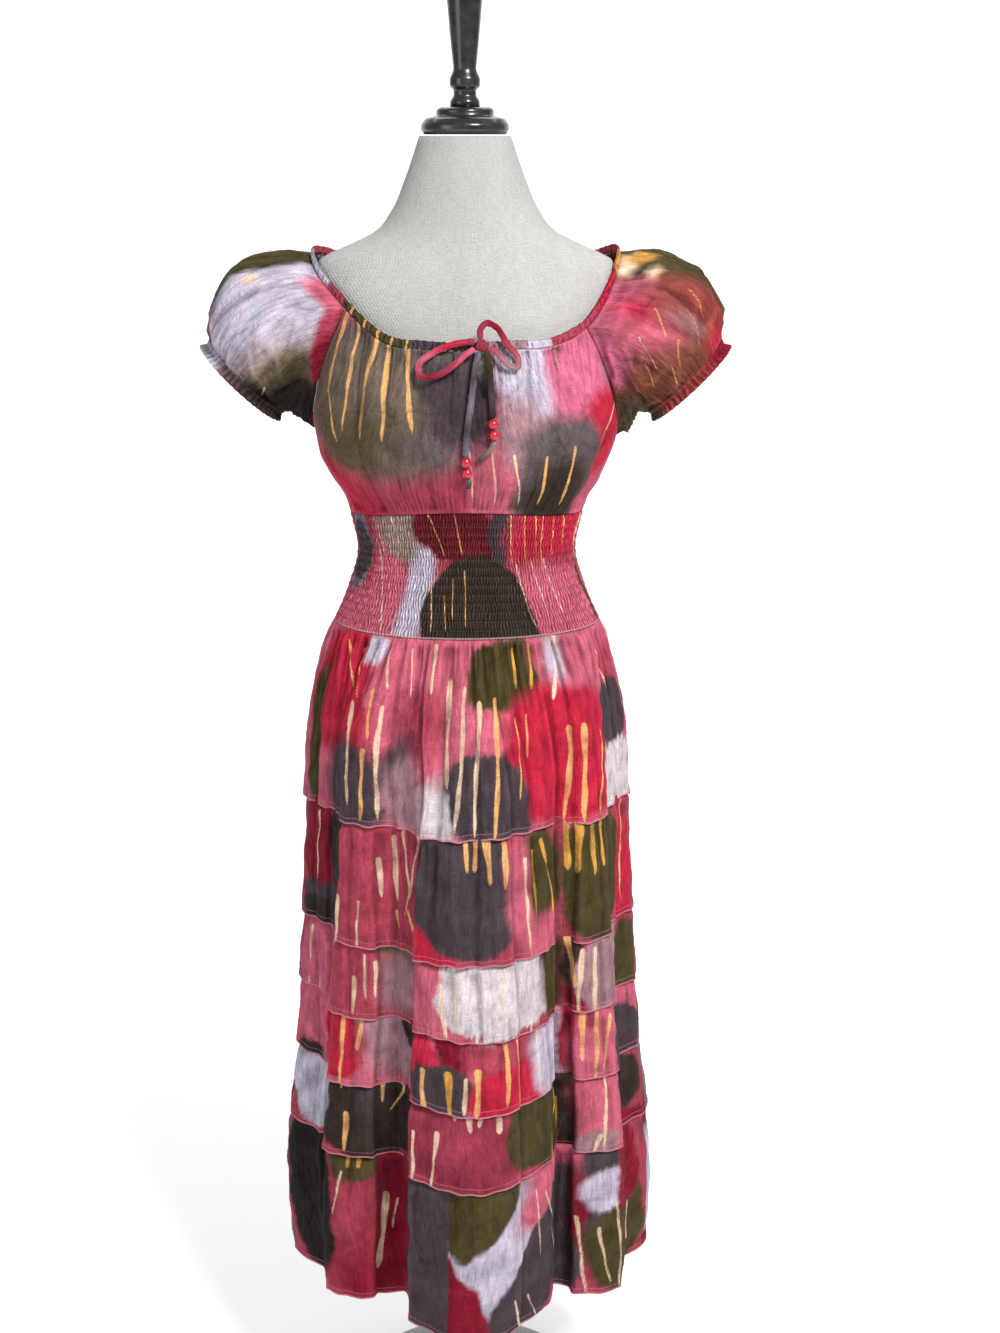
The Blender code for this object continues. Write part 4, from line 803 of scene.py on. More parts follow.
# Streaks of wax: upper angle and height, lower angle and height, width and colour
STREAKS = {
    "bodice_front_cotton": [
        (-59.5, 1.424, -66.9, 1.336, 0.0066, "orange"), (-66.9, 1.336, -60.6, 1.277, 0.0055, "orange"),
        (-53.2, 1.425, -57.4, 1.291, 0.0066, "orange"), (-43.2, 1.405, -49.5, 1.283, 0.0088, "orange"),
        (-37.1, 1.399, -38.2, 1.283, 0.0088, "orange"), (-29.1, 1.395, -23.4, 1.294, 0.0088, "orange"),
        (38.4, 1.265, 40.8, 1.206, 0.0066, "orange"), (51.2, 1.274, 54.4, 1.203, 0.0055, "orange"),
        (22.8, 1.269, 30.6, 1.208, 0.0044, "cream"), (12.6, 1.275, 16.4, 1.209, 0.0044, "cream"),
        (83.4, 1.351, 66.9, 1.267, 0.0044, "cream"), (69.8, 1.426, 80.4, 1.343, 0.0033, "cream"),
        (2.1, 1.275, 4.6, 1.210, 0.0033, "cream"), (45.5, 1.401, 45.8, 1.363, 0.0044, "cream"),
        (79.8, 1.238, 79.1, 1.226, 0.0033, "cream")],
    "smock_front": [
        (-23.0, 1.201, -12.6, 1.142, 0.0033, "orange"), (-7.0, 1.202, -1.5, 1.149, 0.0033, "orange"),
        (-0.2, 1.130, -0.2, 1.067, 0.0033, "orange"), (-21.9, 1.114, -19.6, 1.061, 0.0033, "orange"),
        (36.0, 1.199, 39.4, 1.134, 0.0033, "orange"), (42.1, 1.198, 46.9, 1.140, 0.0033, "orange"),
        (47.8, 1.197, 50.6, 1.121, 0.0033, "orange"), (54.5, 1.195, 57.6, 1.137, 0.0033, "orange"),
        (32.9, 1.135, 40.5, 1.063, 0.0033, "cream"), (42.8, 1.140, 49.4, 1.070, 0.0028, "cream"),
        (51.0, 1.139, 58.5, 1.072, 0.0028, "cream"), (-58.4, 1.161, -47.8, 1.056, 0.0033, "cream"),
        (-58.2, 1.194, -53.5, 1.143, 0.0033, "orange"), (-45.6, 1.198, -41.9, 1.152, 0.0028, "cream"),
        (-13.4, 1.102, -11.8, 1.062, 0.0028, "orange"), (-8.0, 1.121, -7.4, 1.075, 0.0028, "orange"),
        (62.0, 1.193, 65.5, 1.152, 0.0033, "orange"), (27.0, 1.201, 30.9, 1.135, 0.0028, "orange")],
    "tier_1_front": [
        (-50.8, 0.976, -46.5, 0.856, 0.0066, "cream"), (-37.0, 0.976, -37.2, 0.842, 0.0066, "cream"),
        (-41.4, 0.926, -42.5, 0.839, 0.0055, "orange"), (-7.8, 1.007, -6.5, 0.892, 0.0099, "cream"),
        (-0.1, 1.002, -2.9, 0.842, 0.0066, "cream"), (5.8, 0.986, 3.0, 0.838, 0.0066, "cream"),
        (13.1, 0.990, 9.6, 0.832, 0.0077, "orange"), (45.5, 0.947, 43.4, 0.835, 0.0077, "orange"),
        (51.1, 0.948, 48.9, 0.833, 0.0088, "orange"), (60.4, 0.937, 56.9, 0.836, 0.0055, "orange"),
        (-15.9, 1.045, -15.2, 0.994, 0.0077, "cream"), (26.0, 1.040, 24.8, 0.996, 0.0066, "yellow"),
        (33.5, 1.045, 32.0, 0.995, 0.0066, "yellow"), (48.6, 1.055, 41.1, 0.981, 0.0066, "cream"),
        (-63.9, 1.041, -55.6, 0.987, 0.0044, "orange"), (-41.4, 0.995, -40.2, 0.938, 0.0044, "orange"),
        (22.0, 0.966, 20.4, 0.876, 0.0033, "orange"), (27.1, 0.970, 25.8, 0.920, 0.0033, "orange"),
        (70.1, 1.026, 76.2, 0.974, 0.0044, "cream"), (-56.2, 1.033, -48.4, 0.981, 0.0033, "orange"),
        (-39.0, 1.039, -36.0, 0.996, 0.0044, "cream"), (-28.5, 1.041, -26.8, 0.985, 0.0033, "cream")],
    "tier_2_front": [
        (-0.1, 0.838, 0.5, 0.796, 0.0055, "orange"), (3.4, 0.836, 3.6, 0.796, 0.0077, "orange"),
        (7.5, 0.832, 8.0, 0.781, 0.0088, "orange"), (13.1, 0.829, 13.6, 0.774, 0.0077, "orange"),
        (44.2, 0.834, 44.6, 0.773, 0.0088, "yellow"), (47.5, 0.834, 47.5, 0.769, 0.0088, "yellow"),
        (52.8, 0.834, 53.0, 0.764, 0.0077, "yellow"), (58.6, 0.835, 59.2, 0.770, 0.0077, "yellow"),
        (30.6, 0.820, 41.2, 0.708, 0.0055, "yellow"), (27.4, 0.809, 27.1, 0.719, 0.0044, "yellow"),
        (22.0, 0.803, 24.0, 0.685, 0.0055, "cream"), (-36.6, 0.792, -36.5, 0.744, 0.0066, "cream"),
        (-32.1, 0.819, -30.9, 0.739, 0.0088, "cream"), (-27.0, 0.836, -23.8, 0.748, 0.0066, "cream"),
        (-51.2, 0.742, -53.5, 0.663, 0.0066, "cream"), (-43.2, 0.741, -44.1, 0.680, 0.0033, "cream"),
        (-18.6, 0.836, -26.2, 0.720, 0.0033, "cream"), (-24.6, 0.732, -18.4, 0.693, 0.0055, "orange"),
        (-31.5, 0.726, -30.4, 0.704, 0.0055, "orange"), (81.4, 0.831, 79.8, 0.703, 0.0033, "cream"),
        (77.2, 0.835, 76.9, 0.667, 0.0033, "orange"), (-73.6, 0.826, -74.9, 0.735, 0.0033, "cream")],
    "tier_3_front": [
        (-45.8, 0.641, -46.6, 0.594, 0.0066, "cream"), (-8.4, 0.659, -5.5, 0.594, 0.0055, "cream"),
        (45.6, 0.687, 47.6, 0.623, 0.0066, "orange"), (49.2, 0.672, 49.1, 0.589, 0.0055, "cream"),
        (53.9, 0.672, 52.9, 0.588, 0.0066, "cream"), (-39.2, 0.663, -39.6, 0.617, 0.0044, "cream"),
        (-41.9, 0.672, -41.9, 0.614, 0.0033, "cream"), (-18.9, 0.673, -19.4, 0.591, 0.0033, "cream"),
        (-78.6, 0.672, -79.8, 0.625, 0.0055, "cream"), (-74.8, 0.611, -75.2, 0.530, 0.0033, "cream"),
        (-80.4, 0.604, -79.8, 0.531, 0.0033, "cream"), (-3.5, 0.668, -2.1, 0.602, 0.0033, "cream"),
        (11.1, 0.684, 11.2, 0.617, 0.0033, "cream")],
    "tier_4_front": [
        (-50.1, 0.590, -51.0, 0.499, 0.0066, "orange"), (-43.2, 0.594, -44.8, 0.548, 0.0066, "orange"),
        (12.6, 0.604, 12.9, 0.507, 0.0066, "orange"), (17.2, 0.599, 18.5, 0.502, 0.0055, "orange"),
        (-14.1, 0.548, -13.2, 0.496, 0.0088, "orange"), (-5.8, 0.550, -4.4, 0.496, 0.0085, "yellow"),
        (0.4, 0.548, 0.0, 0.504, 0.0055, "cream"), (3.8, 0.556, 3.1, 0.502, 0.0088, "orange"),
        (50.1, 0.594, 50.5, 0.528, 0.0066, "orange"), (54.6, 0.592, 53.4, 0.501, 0.0066, "orange"),
        (58.8, 0.581, 56.8, 0.511, 0.0044, "orange"), (41.0, 0.579, 42.4, 0.515, 0.0066, "cream"),
        (-20.0, 0.584, -20.4, 0.514, 0.0033, "cream"), (27.2, 0.587, 27.9, 0.517, 0.0033, "cream")],
    "tier_5_front": [
        (-48.6, 0.465, -49.6, 0.414, 0.0066, "orange"), (-51.0, 0.510, -51.0, 0.494, 0.0066, "orange"),
        (-37.6, 0.508, -38.6, 0.477, 0.0044, "orange"), (-26.9, 0.518, -36.1, 0.465, 0.0044, "orange"),
        (-16.8, 0.468, -18.1, 0.399, 0.0055, "cream"), (-9.2, 0.475, -10.4, 0.406, 0.0055, "cream"),
        (-3.5, 0.507, -3.1, 0.495, 0.0055, "cream"), (0.9, 0.502, 1.2, 0.482, 0.0088, "cream"),
        (5.2, 0.511, 4.2, 0.489, 0.0055, "cream"), (10.4, 0.507, 10.0, 0.478, 0.0088, "cream"),
        (40.4, 0.492, 33.9, 0.399, 0.0044, "yellow"), (43.6, 0.474, 43.2, 0.394, 0.0044, "yellow"),
        (56.8, 0.501, 56.0, 0.406, 0.0044, "cream"), (54.9, 0.429, 53.6, 0.408, 0.0044, "cream")],
    "tier_6_front": [
        (-38.4, 0.353, -41.9, 0.249, 0.0066, "cream"), (-48.2, 0.409, -48.4, 0.391, 0.0066, "yellow"),
        (-44.5, 0.408, -44.9, 0.395, 0.0044, "yellow"), (-50.5, 0.387, -53.8, 0.322, 0.0033, "cream"),
        (-34.8, 0.345, -37.4, 0.303, 0.0033, "cream"), (49.6, 0.319, 54.4, 0.204, 0.0033, "cream"),
        (15.1, 0.255, 19.0, 0.185, 0.0033, "cream"), (21.8, 0.248, 29.0, 0.165, 0.0033, "cream"),
        (55.0, 0.304, 59.8, 0.222, 0.0033, "cream"), (60.1, 0.334, 62.9, 0.210, 0.0033, "cream"),
        (80.1, 0.296, 81.9, 0.236, 0.0033, "cream"), (30.4, 0.376, 43.9, 0.250, 0.0033, "cream"),
        (25.1, 0.385, 28.5, 0.291, 0.0033, "cream")],
    "sleeve_left": [
        (70, 0.096, 62, 0.120, 0.0028, "cream")],
    "sleeve_right": [
        (120, 0.038, 104, 0.064, 0.0016, "orange"), (96, 0.046, 78, 0.074, 0.0018, "cream"),
        (76, 0.058, 60, 0.088, 0.0016, "orange"), (150, 0.050, 138, 0.080, 0.0016, "yellow"),
        (134, 0.058, 118, 0.092, 0.0014, "orange"), (108, 0.072, 94, 0.096, 0.0016, "yellow"),
        (90, 0.084, 80, 0.104, 0.0016, "orange"), (64, 0.030, 50, 0.060, 0.0014, "cream")],
    "band_front_left": [
        (-57.0, 1.440, -58.5, 1.415, 0.0050, "orange"), (-50.0, 1.425, -51.0, 1.400, 0.0050, "orange"),
        (-43.0, 1.410, -43.5, 1.390, 0.0055, "orange"), (-36.5, 1.402, -37.0, 1.385, 0.0055, "orange"),
        (-28.5, 1.400, -28.8, 1.385, 0.0055, "orange")],
}


def hidden_side():
    """Seeded patches and streaks for the back pieces, in the habits of the front: one or two dyes deep.

    A back piece whose patches are listed keeps them, and takes only the seeded streaks."""
    rng = np.random.default_rng(17)
    words = list(DYES)[:9] + ["raspberry", "olive"]
    levels = [(1.200, 1.440), (1.060, 1.190)] + [(hem, top) for hem, top in
              zip([t[0] for t in TIERS], [SMOCK_BOTTOM] + [t[0] for t in TIERS])]
    names = ["bodice_back_cotton", "smock_back"] + [f"tier_{k + 1}_back" for k in range(len(TIERS))]
    for name, (low, high) in zip(names, levels):
        by_hand = list(PATCHES.get(name, ()))
        middles = np.linspace(94, 266, 11 if high - low > 0.12 else 8)
        rows, lines = [], []
        for at in middles:
            word = words[rng.integers(len(words))]
            tall = (high - low) * rng.uniform(0.30, 0.75)
            rows.append((at + rng.uniform(-6, 6), rng.choice([low, high, 0.5 * (low + high)]) + rng.uniform(-0.01, 0.01),
                         rng.uniform(9, 19), tall, rng.uniform(-70, 70), word, rng.uniform(0.0035, 0.0056)))
            if rng.random() < 0.45:
                wax = "yellow" if word in ("olive", "charcoal") else rng.choice(["orange", "cream"])
                top = rng.uniform(low + 0.7 * (high - low), high)
                for k in range(rng.integers(3, 6)):
                    long = (high - low) * rng.uniform(0.35, 0.75)
                    lines.append((at - 9 + 4.2 * k, top, at - 9 + 4.2 * k + rng.uniform(-2, 2), max(low, top - long),
                                  rng.uniform(0.004, 0.008), wax))
        PATCHES[name], STREAKS[name] = by_hand or rows, lines


def dyed(piece, angle, height, ground, seed, round_body=0.0033):
    """The dye and the wax at each point of a piece.

    A patch is a rounded box in degrees and metres, whose edge wanders and feathers along the grain.
    A later patch lies over an earlier one. A streak is the nearness to a slightly wavering line
    that swells at its top, 0.5 at its edge and rising by 1 for each 8 mm toward its middle."""
    across = angle * round_body
    wander = 0.0040 * ripples(across, height, 0.060, seed) + 0.0009 * ripples(across, height, 0.011, seed + 4)
    comb = ripples(across * 5, height, 0.030, seed + 1)
    feather = 0.0011 * comb + 0.0009 * ripples(across, height, 0.006, seed + 2)
    feather = feather * (0.5 if piece.startswith("sleeve") else 1)
    colour = np.ones(angle.shape + (4,))
    colour[..., :3] = DYES[ground]
    for at, level, wide, tall, lean, word, soft in PATCHES.get(piece, ()):
        crisp = soft < 0.001
        loose = 0.0 if crisp else 1.0
        aside = (wrapped(angle - at - lean * (level - height)) * round_body + loose * wander) / (wide * round_body)
        combed = 0.0045 * comb if word == "white" else feather
        above = (height - level + loose * (combed + 0.6 * wander)) / tall
        corner = 14 if crisp else 2.0 if piece.startswith("smock") else 2.6
        box = (np.abs(aside) ** corner + np.abs(above) ** corner) ** (1 / corner)
        inside = (1 - box) * min(wide * round_body, tall)
        fade = soft * (2.2 if soft > 0.0045 else 1.3 if piece.startswith("sleeve") else 0.75)
        share = eased(0.5 + inside / (2 * fade))[..., None]
        colour[..., :3] += share * (np.array(DYES[word]) - colour[..., :3])
    streak = np.zeros(angle.shape + (4,))
    streak[..., :3] = DYES["cream"]
    best = np.full(angle.shape, -1.0)
    for k, (top_angle, top, low_angle, low, width, word) in enumerate(STREAKS.get(piece, ())):
        x, y = wrapped(angle - top_angle) * round_body, height - top
        run, drop = wrapped(low_angle - top_angle) * round_body, low - top
        long = math.hypot(run, drop)
        t = (x * run + y * drop) / long**2
        past = np.maximum(0, np.maximum(-t, t - 1)) * long
        bend = 0.0010 * np.sin(t * long * 40 + 9 * k) + 0.0003 * np.sin(t * long * 150 + 5 * k)
        aside = (x * drop - y * run) / long + bend
        swell = 0.86 + 0.20 * np.sin(t * long * 85 + 4 * k) + 0.06 * np.exp(-((t / 0.12) ** 2))
        half = 0.5 * width * swell * (1 - 0.25 * np.clip(t, 0, 1)) * eased(0.35 + (1 - t) * 5)
        near = (half - np.hypot(aside, past)) / 0.008
        better = near > best
        best = np.where(better, near, best)
        streak[better, :3] = DYES[word]
    streak[..., 3] = np.clip(0.5 + best, 0, 1)
    return colour, streak


# Camera, floor and light

def set_camera():
    """The photograph's place and tilt: 2.5 m in front, a little above the neck, looking down."""
    lens = bpy.data.cameras.new("camera")
    lens.lens, lens.sensor_width, lens.clip_end = 57.2, 36.0, 50.0
    made = bpy.data.objects.new("camera", lens)
    made.location = (0.040, -2.5, 1.62)
    made.rotation_euler = (math.radians(90 - 14.1), 0, 0)
    bpy.context.scene.collection.objects.link(made)
    bpy.context.scene.camera = made


def area_light(name, where, aim, size, power, colour=(1, 1, 1)):
    """A square soft light that points at a place."""
    lamp = bpy.data.lights.new(name, "AREA")
    lamp.size, lamp.energy, lamp.color = size, power, colour
    made = bpy.data.objects.new(name, lamp)
    made.location = where
    toward = np.array(aim, float) - np.array(where, float)
    flat = math.hypot(toward[0], toward[1])
    made.rotation_euler = (math.atan2(flat, -toward[2]), 0, math.atan2(-toward[0], toward[1]))
    bpy.context.scene.collection.objects.link(made)


def set_room():
    """A pale floor that rises into a backdrop far behind, white air, and three soft lights."""
    steps = np.linspace(0, 1, 24)
    turns = steps * math.pi / 2
    bend = [(3.2 + 1.6 * math.sin(turn), 1.6 * (1 - math.cos(turn))) for turn in turns]
    profile = [(-6.0, 0.0)] + bend + [(4.8, 5.5)]
    points = np.array([(x, y, z) for y, z in profile for x in (-7.0, 7.0)])
    faces = [[2 * i, 2 * i + 1, 2 * i + 3, 2 * i + 2] for i in range(len(profile) - 1)]
    pale, _, shader = shader_of("pale floor", 0.9)
    shader.inputs["Base Color"].default_value = (0.86, 0.86, 0.86, 1)
    shader.inputs["Emission Color"].default_value = (1, 1, 1, 1)
    shader.inputs["Emission Strength"].default_value = 0.36
    floor = finish_mesh("floor", points, faces, pale)
    world = bpy.data.worlds.new("studio")
    bpy.context.scene.world = world
    world.use_nodes = True
    world.node_tree.nodes["Background"].inputs["Color"].default_value = (1.0, 1.0, 1.0, 1)
    world.node_tree.nodes["Background"].inputs["Strength"].default_value = 0.26
    area_light("key", (1.3, -2.2, 3.4), (0, 0, 1.1), 0.8, 134, (1.0, 0.985, 0.96))
    area_light("fill", (-2.4, -2.2, 1.8), (0, 0, 0.9), 1.6, 17, (0.95, 0.97, 1.0))
    area_light("backdrop", (0.0, 2.0, 3.6), (0, 3.6, 0.0), 3.0, 60)
    bpy.context.scene.view_settings.view_transform = "Standard"


# Pieces

def ride(piece, replaced=None):
    """Rides a piece on the one body, and hides the solid that it stands for."""
    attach(piece, "root")
    if replaced:
        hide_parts(replaced)
    return piece


def dress_form():
    """The padded torso under linen, and the turned stand."""
    heights = np.concatenate([[0.915, 0.9165, 0.919], np.linspace(0.922, 1.6185, 97)])
    angles = np.linspace(180, 540, 128, endpoint=False)
    angle, height = np.meshgrid(angles, heights)
    base, square = upright(form_reach, angle, height)
    seam = np.abs(wrapped(angle - 180))
    out = -0.0005 * np.exp(-((seam / 0.5) ** 2)) - 0.0003
    points = (base + square * out[..., None]).reshape(-1, 3)
    o = np.arange(len(points)).reshape(angle.shape)
    o = joined_round(o)
    faces = quads(o)
    faces.append(o[0, :-1][::-1].tolist())
    faces.append(o[-1, :-1].tolist())
    torso = finish_mesh("torso_linen", points, faces, LINEN, len(faces) - 2)
    lay_measure(torso.data, np.stack([angle * 0.0030, height], -1))
    ride(torso, replaced="form_torso")
    stand = {"form_neck_cap": NECK_CAP, "form_finial": FINIAL, "form_pole": POLE, "form_base": BASE}
    for name, outline in stand.items():
        ride(turned(name.replace("form", "turned"), outline, LACQUER), replaced=name)


def smocked_waist(name, middle, node_name, ground, seed):
    """Shirring: rows of thread pinch the cloth, and narrow upright pleats puff between them.

    A pleat is a sine round the body whose phase wanders from row to row, so pleats fork and lean."""
    half = 90 - math.degrees(0.5 * SEAM_GAP / 0.130)
    angles = middle + np.linspace(-half, half, 721 if middle == 0 else 481)
    within = np.array([0.0, 0.10, 0.28, 0.5, 0.72, 0.90])
    share = np.concatenate([k + within for k in range(SMOCK_ROWS)] + [[SMOCK_ROWS]])[:, None] / SMOCK_ROWS
    top = smock_top(angles) - SEAM_GAP / 2
    height = SMOCK_BOTTOM + share * (top - SMOCK_BOTTOM)
    angle = angles + 0 * height
    base, square = upright(body_reach, angle, height)
    row = share * SMOCK_ROWS
    puffed = np.abs(np.sin(np.pi * row)) ** 0.55
    across = angle * 0.0024
    drift = 1.5 * ripples(across, height, 0.040, seed) + 0.9 * ripples(across, height, 0.014, seed + 3)
    turn = np.radians(angle) * SMOCK_PLEATS + drift * 1.5
    pleat = np.sin(turn + 0.6 * np.sin(turn))
    sizes = np.clip(0.80 + 0.45 * ripples(across, height, 0.007, seed + 5), 0.15, 1.5)
    out = -SMOCK_RELIEF * (1 - puffed) * 0.6 + 0.00100 * pleat * sizes * (0.70 + 0.30 * puffed) - 0.0002
    out = out - 0.0006 * np.exp(-(((1 - share) * 40) ** 2))
    colour = dyed(name, angle, height, ground, seed)
    # Painted light on the shirring: painted shade deep in the gaps between the pleats, and a painted highlight on the
    # crests of the puffs.
    gap = np.clip(0.5 - 0.5 * pleat * sizes, 0, 1) ** 1.3 * (0.80 + 0.20 * puffed)
    painted_crest_highlight = np.clip(pleat * sizes, 0, 1) ** 2 * puffed
    tone = (1.06 - 0.86 * gap + 0.55 * painted_crest_highlight)[..., None]
    colour = [np.concatenate([layer[..., :3] * tone + 0.02 * painted_crest_highlight[..., None], layer[..., 3:]], -1)
              for layer in colour]
    piece = cloth(name, base, square, out, SMOCKED, colour, wall=SMOCK_WALL - SMOCK_RELIEF,
                  painted_relief_light=(3, 0.0008, 0.25, 0.04))
    return cut_sheet(ride(piece, replaced=node_name))


def bodice(name, middle, node_name, ground, seed):
    """A bodice panel, gathered on the neck band and again on the smocking, with a faced slit in front."""
    shares = np.linspace(-1, 1, 321)
    level = np.linspace(0, 1, 93)[:, None]
    past = np.clip((level - ARMPIT_SHARE) / (1 - ARMPIT_SHARE), 0, 1)
    half = 90 - (90 - RAGLAN_ANGLE) * past**RAGLAN_CURVE
    angle = middle + shares * half
    low = smock_top(middle + shares * 90) + SEAM_GAP / 2
    high = neck_height(middle + shares * RAGLAN_ANGLE) - BAND_HEIGHT / 2 - BAND_CLEAR
    slit = 0.0
    if middle == 0:
        slit = SLIT_DEPTH * np.clip(1 - np.abs(angle - SLIT_ANGLE) / SLIT_HALF_ANGLE, 0, 1) ** 0.6
    height = low + level * (high - low - slit)
    base, square = upright(body_reach, angle, height)
    still = np.clip((1 - np.abs(shares)) * 14, 0, 1)
    from_neck, from_waist = high - height, height - low
    out = pinches(angle, from_neck, gather_rows(seed, middle - 62, middle + 62, 1.7, 0.0026, 0.034))
    out = out + pinches(angle, from_waist, gather_rows(seed + 1, middle - 90, middle + 90, 1.9, 0.0024, 0.030))
    out = out + 1.3 * pinches(angle, from_neck, NECK_FOLDS[middle])
    out = out + 1.2 * pinches(angle, from_waist, WAIST_FOLDS[middle])
    out = out + 0.0010 * ripples(angle * 0.0025, height, 0.045, seed + 2)
    out = out + 0.0008 * crumpled(angle * 0.0028, height * 0.7, 0.055, seed + 3)
    out = out + pressed_creases(angle * 0.0028, height, 0.018, 0.0008, seed + 6)
    out = out * still * eased(level * 22) * eased((1 - level) * 26 + 0.25)
    colour = dyed(name, angle, height, ground, seed)
    piece = ride(cloth(name, base, square, out, COTTON, colour), replaced=node_name)
    return cut_sheet(piece)


NECK_FOLDS = {
    0: [(-52, 20, 2.2, -0.0030, 0.120), (-44, 16, 2.6, 0.0024, 0.140), (-37, 12, 2.0, -0.0028, 0.110),
        (-29, 10, 2.6, 0.0020, 0.120), (-22, 8, 1.8, -0.0030, 0.130), (-14, 4, 2.4, 0.0022, 0.100),
        (-6, 0, 1.6, -0.0024, 0.080), (1, -4, 2.0, -0.0016, 0.090), (17, -6, 2.0, -0.0028, 0.110),
        (24, -10, 2.4, 0.0024, 0.120), (31, -12, 1.8, -0.0030, 0.140), (38, -14, 2.6, 0.0022, 0.120),
        (45, -18, 1.9, -0.0032, 0.150), (53, -20, 2.2, 0.0020, 0.110)],
    180: [(128, 12, 2.0, -0.0028, 0.110), (138, 8, 2.6, 0.0022, 0.120), (147, 6, 1.9, -0.0030, 0.130),
          (158, 3, 2.4, 0.0020, 0.100), (166, 0, 1.8, -0.0026, 0.120), (176, 0, 2.6, 0.0022, 0.130),
          (187, 0, 1.8, -0.0030, 0.110), (197, -4, 2.4, 0.0022, 0.120), (206, -6, 1.9, -0.0028, 0.140),
          (217, -8, 2.6, 0.0020, 0.110), (228, -12, 2.0, -0.0030, 0.120)],
}
WAIST_FOLDS = {
    0: [(-70, -20, 2.4, -0.0026, 0.060), (-58, -12, 2.6, 0.0022, 0.070), (-49, -10, 2.0, -0.0030, 0.075),
        (-40, -6, 2.4, 0.0020, 0.060), (-30, -3, 1.9, -0.0026, 0.055), (-18, 0, 2.2, -0.0022, 0.050),
        (-6, 0, 2.4, 0.0018, 0.045), (5, 0, 1.9, -0.0024, 0.050), (16, 2, 2.2, 0.0018, 0.050),
        (26, 4, 1.9, -0.0028, 0.065), (36, 8, 2.4, 0.0022, 0.070), (46, 12, 1.9, -0.0030, 0.080),
        (57, 16, 2.4, 0.0022, 0.070), (68, 20, 2.0, -0.0028, 0.070)],
    180: [(112, -20, 2.2, -0.0026, 0.060), (124, -12, 2.4, 0.0020, 0.060), (136, -8, 2.0, -0.0028, 0.065),
          (149, -4, 2.4, 0.0020, 0.055), (161, 0, 1.9, -0.0024, 0.050), (174, 0, 2.4, 0.0018, 0.050),
          (186, 0, 1.9, -0.0026, 0.055), (199, 4, 2.4, 0.0020, 0.060), (212, 8, 2.0, -0.0028, 0.065),
          (226, 12, 2.4, 0.0020, 0.060), (240, 18, 2.0, -0.0026, 0.060)],
}


def neck_band(name, first, last, node_name, ground, seed):
    """The casing of the drawstring: a soft tube on the edge, ruched by the cord into small folds."""
    columns = int((last - first) * 4.2) // 4 * 4 + 1
    angles = np.linspace(first, last, columns)
    t = np.linspace(0, 1, 13)[:, None]
    middle = neck_height(angles)
    height = middle - BAND_HEIGHT / 2 + t * BAND_HEIGHT
    angle = angles + 0 * height
    base, square = upright(body_reach, angle, height)
    full = (BAND_THICKNESS - CLOTH) * np.sin(np.pi * t) ** 0.4
    across = angle * 0.0024
    turn = np.radians(angle) * 124 + 2.4 * ripples(across, height, 0.020, seed)
    size = np.clip(0.9 + 0.5 * ripples(across, height, 0.012, seed + 1), 0.2, 1.6)
    out = full - 0.0021 * size * (1 - np.abs(np.sin(turn / 2)) ** 0.6) * (0.5 + 0.5 * np.sin(np.pi * t))
    base[..., 2] += 0.0010 * size * np.cos(turn) * (t - 0.5)
    colour = dyed(name, angle, height, ground, seed)
    piece = ride(cloth(name, base, square, out, COTTON, colour, painted_relief_light=(3, 0.0005, 0.66, 0.06)), replaced=node_name)
    return cut_sheet(piece)


def sleeve_grid(side, around, levels):
    """The puffed sleeve as in the part: cubic curves from the raglan seam, over the puff, to the cuff."""
    raglan = (around * 5) // 16
    band = around - 2 * raglan
    up = np.linspace(0, 1, raglan, endpoint=False)
    level = ARMPIT_SHARE + (1 - ARMPIT_SHARE) * up
    edge = 90 - (90 - RAGLAN_ANGLE) * up**RAGLAN_CURVE
    low = smock_top(90)
    front_top = neck_height(side * RAGLAN_ANGLE) - BAND_HEIGHT / 2
    back_top = neck_height(180 - side * RAGLAN_ANGLE) - BAND_HEIGHT / 2
    across = np.linspace(RAGLAN_ANGLE, 180 - RAGLAN_ANGLE, band + 1)
    angle = np.concatenate([edge, across, 180 - edge[:0:-1]])
    height = np.concatenate([low + level * (front_top - low), neck_height(side * across) - BAND_HEIGHT / 2,
                             low + level[:0:-1] * (back_top - low)])
    root = place(angle, body_reach(angle, height), height)
    middle = root.mean(axis=0)
    away = np.arctan2(-(root[:, 1] - middle[1]) / 0.09, -(root[:, 2] - middle[2]) / 0.10)
    round_cuff = CUFF_MIDDLE - np.outer(np.cos(away), CUFF_UP) * CUFF_HALF_HEIGHT
    round_cuff += np.outer(np.sin(away), CUFF_FRONT) * CUFF_HALF_DEPTH
    top = (1 - np.cos(away))[:, None] / 2
    radial = round_cuff - CUFF_MIDDLE
    radial /= np.linalg.norm(radial, axis=1, keepdims=True)
    ahead = np.sin(away)[:, None]
    start = root + np.array([SEAM_GAP / 2, 0, 0])
    leave = LEAVE_ALL + top**2 * LEAVE_TOP + np.abs(ahead) * LEAVE_SIDES + ahead * LEAVE_AHEAD * CUFF_FRONT
    arrive = radial * (ARRIVE_WIDE[0] + ARRIVE_WIDE[1] * top) - CUFF_OUT * (ARRIVE_BACK[0] + ARRIVE_BACK[1] * top)
    t = np.asarray(levels)[:, None, None]
    rows = ((1 - t) ** 3 * start + 3 * (1 - t) ** 2 * t * (start + leave)
            + 3 * (1 - t) * t**2 * (round_cuff + arrive) + t**3 * round_cuff)
    return rows, radial, np.degrees(away)


def grid_normals(points, ring=True):
    """Directions square to a grid: the cross of its two runs."""
    if ring:
        across = np.roll(points, -1, axis=1) - np.roll(points, 1, axis=1)
    else:
        across = np.gradient(points, axis=1)
    up = np.gradient(points, axis=0)
    square = np.cross(across, up)
    return square / np.maximum(np.linalg.norm(square, axis=-1, keepdims=True), 1e-9)


